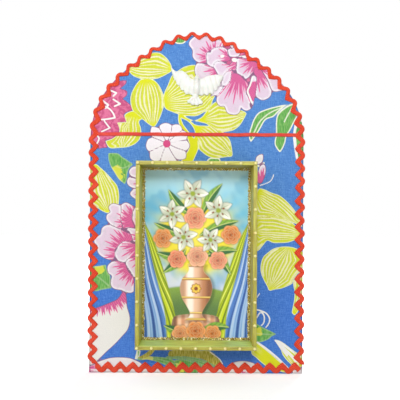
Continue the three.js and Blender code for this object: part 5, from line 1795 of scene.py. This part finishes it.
class ShrineSettings(bpy.types.PropertyGroup):
    """Sizes and colours of the shrine's looks."""

    spring_height: length("Spring height", "Where the arch springs, above the lower edge", 0.1835)
    haunch_draw: number("Haunch draw", "How far the arch is drawn in halfway up", 0.0565)
    haunch_lean: number("Haunch lean", "How much more it is drawn in towards the crown", 1.25)
    edge_radius: length("Edge radius", "Bend of the cloth round the board's edge", 0.0008)
    hem_width: length("Hem", "Cloth turned over on the back", 0.012)
    pleat_height: length("Pleats", "Height of the hem's pleats round the arch", 0.0006)
    rickrack_width: length("Rick-rack width", "From bend to bend", 0.0078)
    rickrack_band: length("Rick-rack band", "Width of the braid itself", 0.0032)
    rickrack_thickness: length("Rick-rack thickness", "Height above the cloth", 0.001)
    rickrack_overhang: length("Overhang", "Rick-rack past the board's sides", 0.0013)
    rickrack_shift: length("Rick-rack shift", "How much further out it lies over the arch", 0.002)
    rickrack_taper: number("Rick-rack taper", "How much narrower it is drawn over the arch", 0.15)
    surround_foot: length("Surround foot", "Lower ends of the surround", 0.0076)
    base_middle: length("Base middle", "Middle of the lower rick-rack", 0.0042)
    base_start: length("Base start", "Left end of the lower rick-rack", -0.0788)
    braid_reach: length("Braid reach", "Half the length of the cross braid", 0.0805)
    card_cell: length("Card cell", "Size of the picture's cells", 0.00042)
    dove_height: length("Dove height", "Middle of the dove above the lower edge", 0.2265)
    ring_corner: length("Ring corner", "Bend of the ring's wire at its bar", 0.002)
    cloth_blue: colour("Cloth blue", "Ground of the print on raised threads", "6198D8")
    cloth_blue_deep: colour("Deep cloth blue", "Ground of the print between threads", "437DC8")
    trim_red: colour("Trim red", "Rick-rack", "EA4A24")
    # The deep reds of the rick-rack and the soutache are painted shade in the grooves between their
    # yarns
    trim_red_groove_shade: colour("Deep trim red", "Rick-rack between yarns", "C41E0C")
    braid_red: colour("Braid red", "Soutache", "EC4836")
    braid_red_groove_shade: colour("Deep braid red", "Soutache between yarns", "C4201C")
    paint: colour("Paint", "Olive paint where the coat is full", "BDBB4E")
    paint_thin: colour("Thin paint", "Olive paint where the coat is thin", "A0973A")
    floor_reach: length("Floor", "Half the floor's side", 4.0)
    # The floor's glow near the shrine sets the depth of its painted shade
    floor_glow: number("Floor glow", "How much whiter the camera sees the floor", 0.36)
    shade_reach: length("Shade reach", "How far from the shrine the floor shows shade", 0.3)
    fill: number("Fill", "Light from all round", 0.3)
    key_power: number("Key lamp", "Lamp from above", 7.0, "POWER")
    side_power: number("Side lamp", "Lamp from the left", 1.6, "POWER")
    lens: number("Lens", "Focal length", 46.2, "DISTANCE_CAMERA")
    shift_x: number("Shift x", "How far the camera's view is shifted to the right", 0.006)
    shift_y: number("Shift y", "How far the camera's view is shifted up", 0.058)
    camera_x: length("Camera x", "Camera to the right of the middle", 0.0009)
    camera_height: length("Camera height", "Camera above the lower edge", 0.118)
    camera_distance: length("Camera distance", "Camera in front of the board's middle", 0.407)
    camera_roll: number("Roll", "Camera turned about its view", math.radians(0.35), "ANGLE")


class SHRINE_OT_cover(bpy.types.Operator):
    """Stretch the printed cotton over the board"""

    bl_idname = "shrine.cover"
    bl_label = "Cotton cover"

    def execute(self, context):
        build_cover()
        return {"FINISHED"}


class SHRINE_OT_trims(bpy.types.Operator):
    """Sew on the rick-rack and the cross braid"""

    bl_idname = "shrine.trims"
    bl_label = "Trims"

    def execute(self, context):
        build_rickrack()
        build_braid()
        return {"FINISHED"}


class SHRINE_OT_box(bpy.types.Operator):
    """Build the painted shadow box"""

    bl_idname = "shrine.box"
    bl_label = "Shadow box"

    def execute(self, context):
        build_box()
        return {"FINISHED"}


class SHRINE_OT_card(bpy.types.Operator):
    """Print the card"""

    bl_idname = "shrine.card"
    bl_label = "Printed card"

    def execute(self, context):
        build_card()
        return {"FINISHED"}


class SHRINE_OT_glitter(bpy.types.Operator):
    """Lay the glitter round the card"""

    bl_idname = "shrine.glitter"
    bl_label = "Glitter"

    def execute(self, context):
        build_glitter()
        return {"FINISHED"}


class SHRINE_OT_pearls(bpy.types.Operator):
    """Glue the half pearls on the box"""

    bl_idname = "shrine.pearls"
    bl_label = "Half pearls"

    def execute(self, context):
        build_pearls()
        return {"FINISHED"}


class SHRINE_OT_dove(bpy.types.Operator):
    """Cast the dove"""

    bl_idname = "shrine.dove"
    bl_label = "Dove"

    def execute(self, context):
        build_dove()
        return {"FINISHED"}


class SHRINE_OT_hanger(bpy.types.Operator):
    """Fit the ring hanger and finish the board"""

    bl_idname = "shrine.hanger"
    bl_label = "Board and hanger"

    def execute(self, context):
        build_hanger()
        return {"FINISHED"}


class SHRINE_OT_stage(bpy.types.Operator):
    """Set the floor, the lamps and the camera"""

    bl_idname = "shrine.stage"
    bl_label = "Stage"

    def execute(self, context):
        build_stage()
        return {"FINISHED"}


OPERATORS = (SHRINE_OT_stage, SHRINE_OT_cover, SHRINE_OT_trims, SHRINE_OT_box, SHRINE_OT_card,
             SHRINE_OT_glitter, SHRINE_OT_pearls, SHRINE_OT_dove, SHRINE_OT_hanger)


class SHRINE_PT_panel(bpy.types.Panel):
    """The shrine's operators, in building order, and its settings"""

    bl_idname = "SHRINE_PT_panel"
    bl_label = "Shrine"
    bl_space_type = "VIEW_3D"
    bl_region_type = "UI"
    bl_category = "Shrine"

    def draw(self, context):
        for operator in OPERATORS:
            self.layout.operator(operator.bl_idname)
        for name in ShrineSettings.__annotations__:
            self.layout.prop(context.scene.shrine, name)


CLASSES = (ShrineSettings, *OPERATORS, SHRINE_PT_panel)


def register():
    """Registers the classes and hangs the settings on the scene."""
    for item in CLASSES:
        bpy.utils.register_class(item)
    bpy.types.Scene.shrine = bpy.props.PointerProperty(type=ShrineSettings)


def unregister():
    """Takes all of it off again."""
    del bpy.types.Scene.shrine
    for item in reversed(CLASSES):
        bpy.utils.unregister_class(item)


def main():
    """Builds every piece in order."""
    register()
    for operator in OPERATORS:
        group, name = operator.bl_idname.split(".")
        getattr(getattr(bpy.ops, group), name)()


if __name__ == "__main__":
    main()
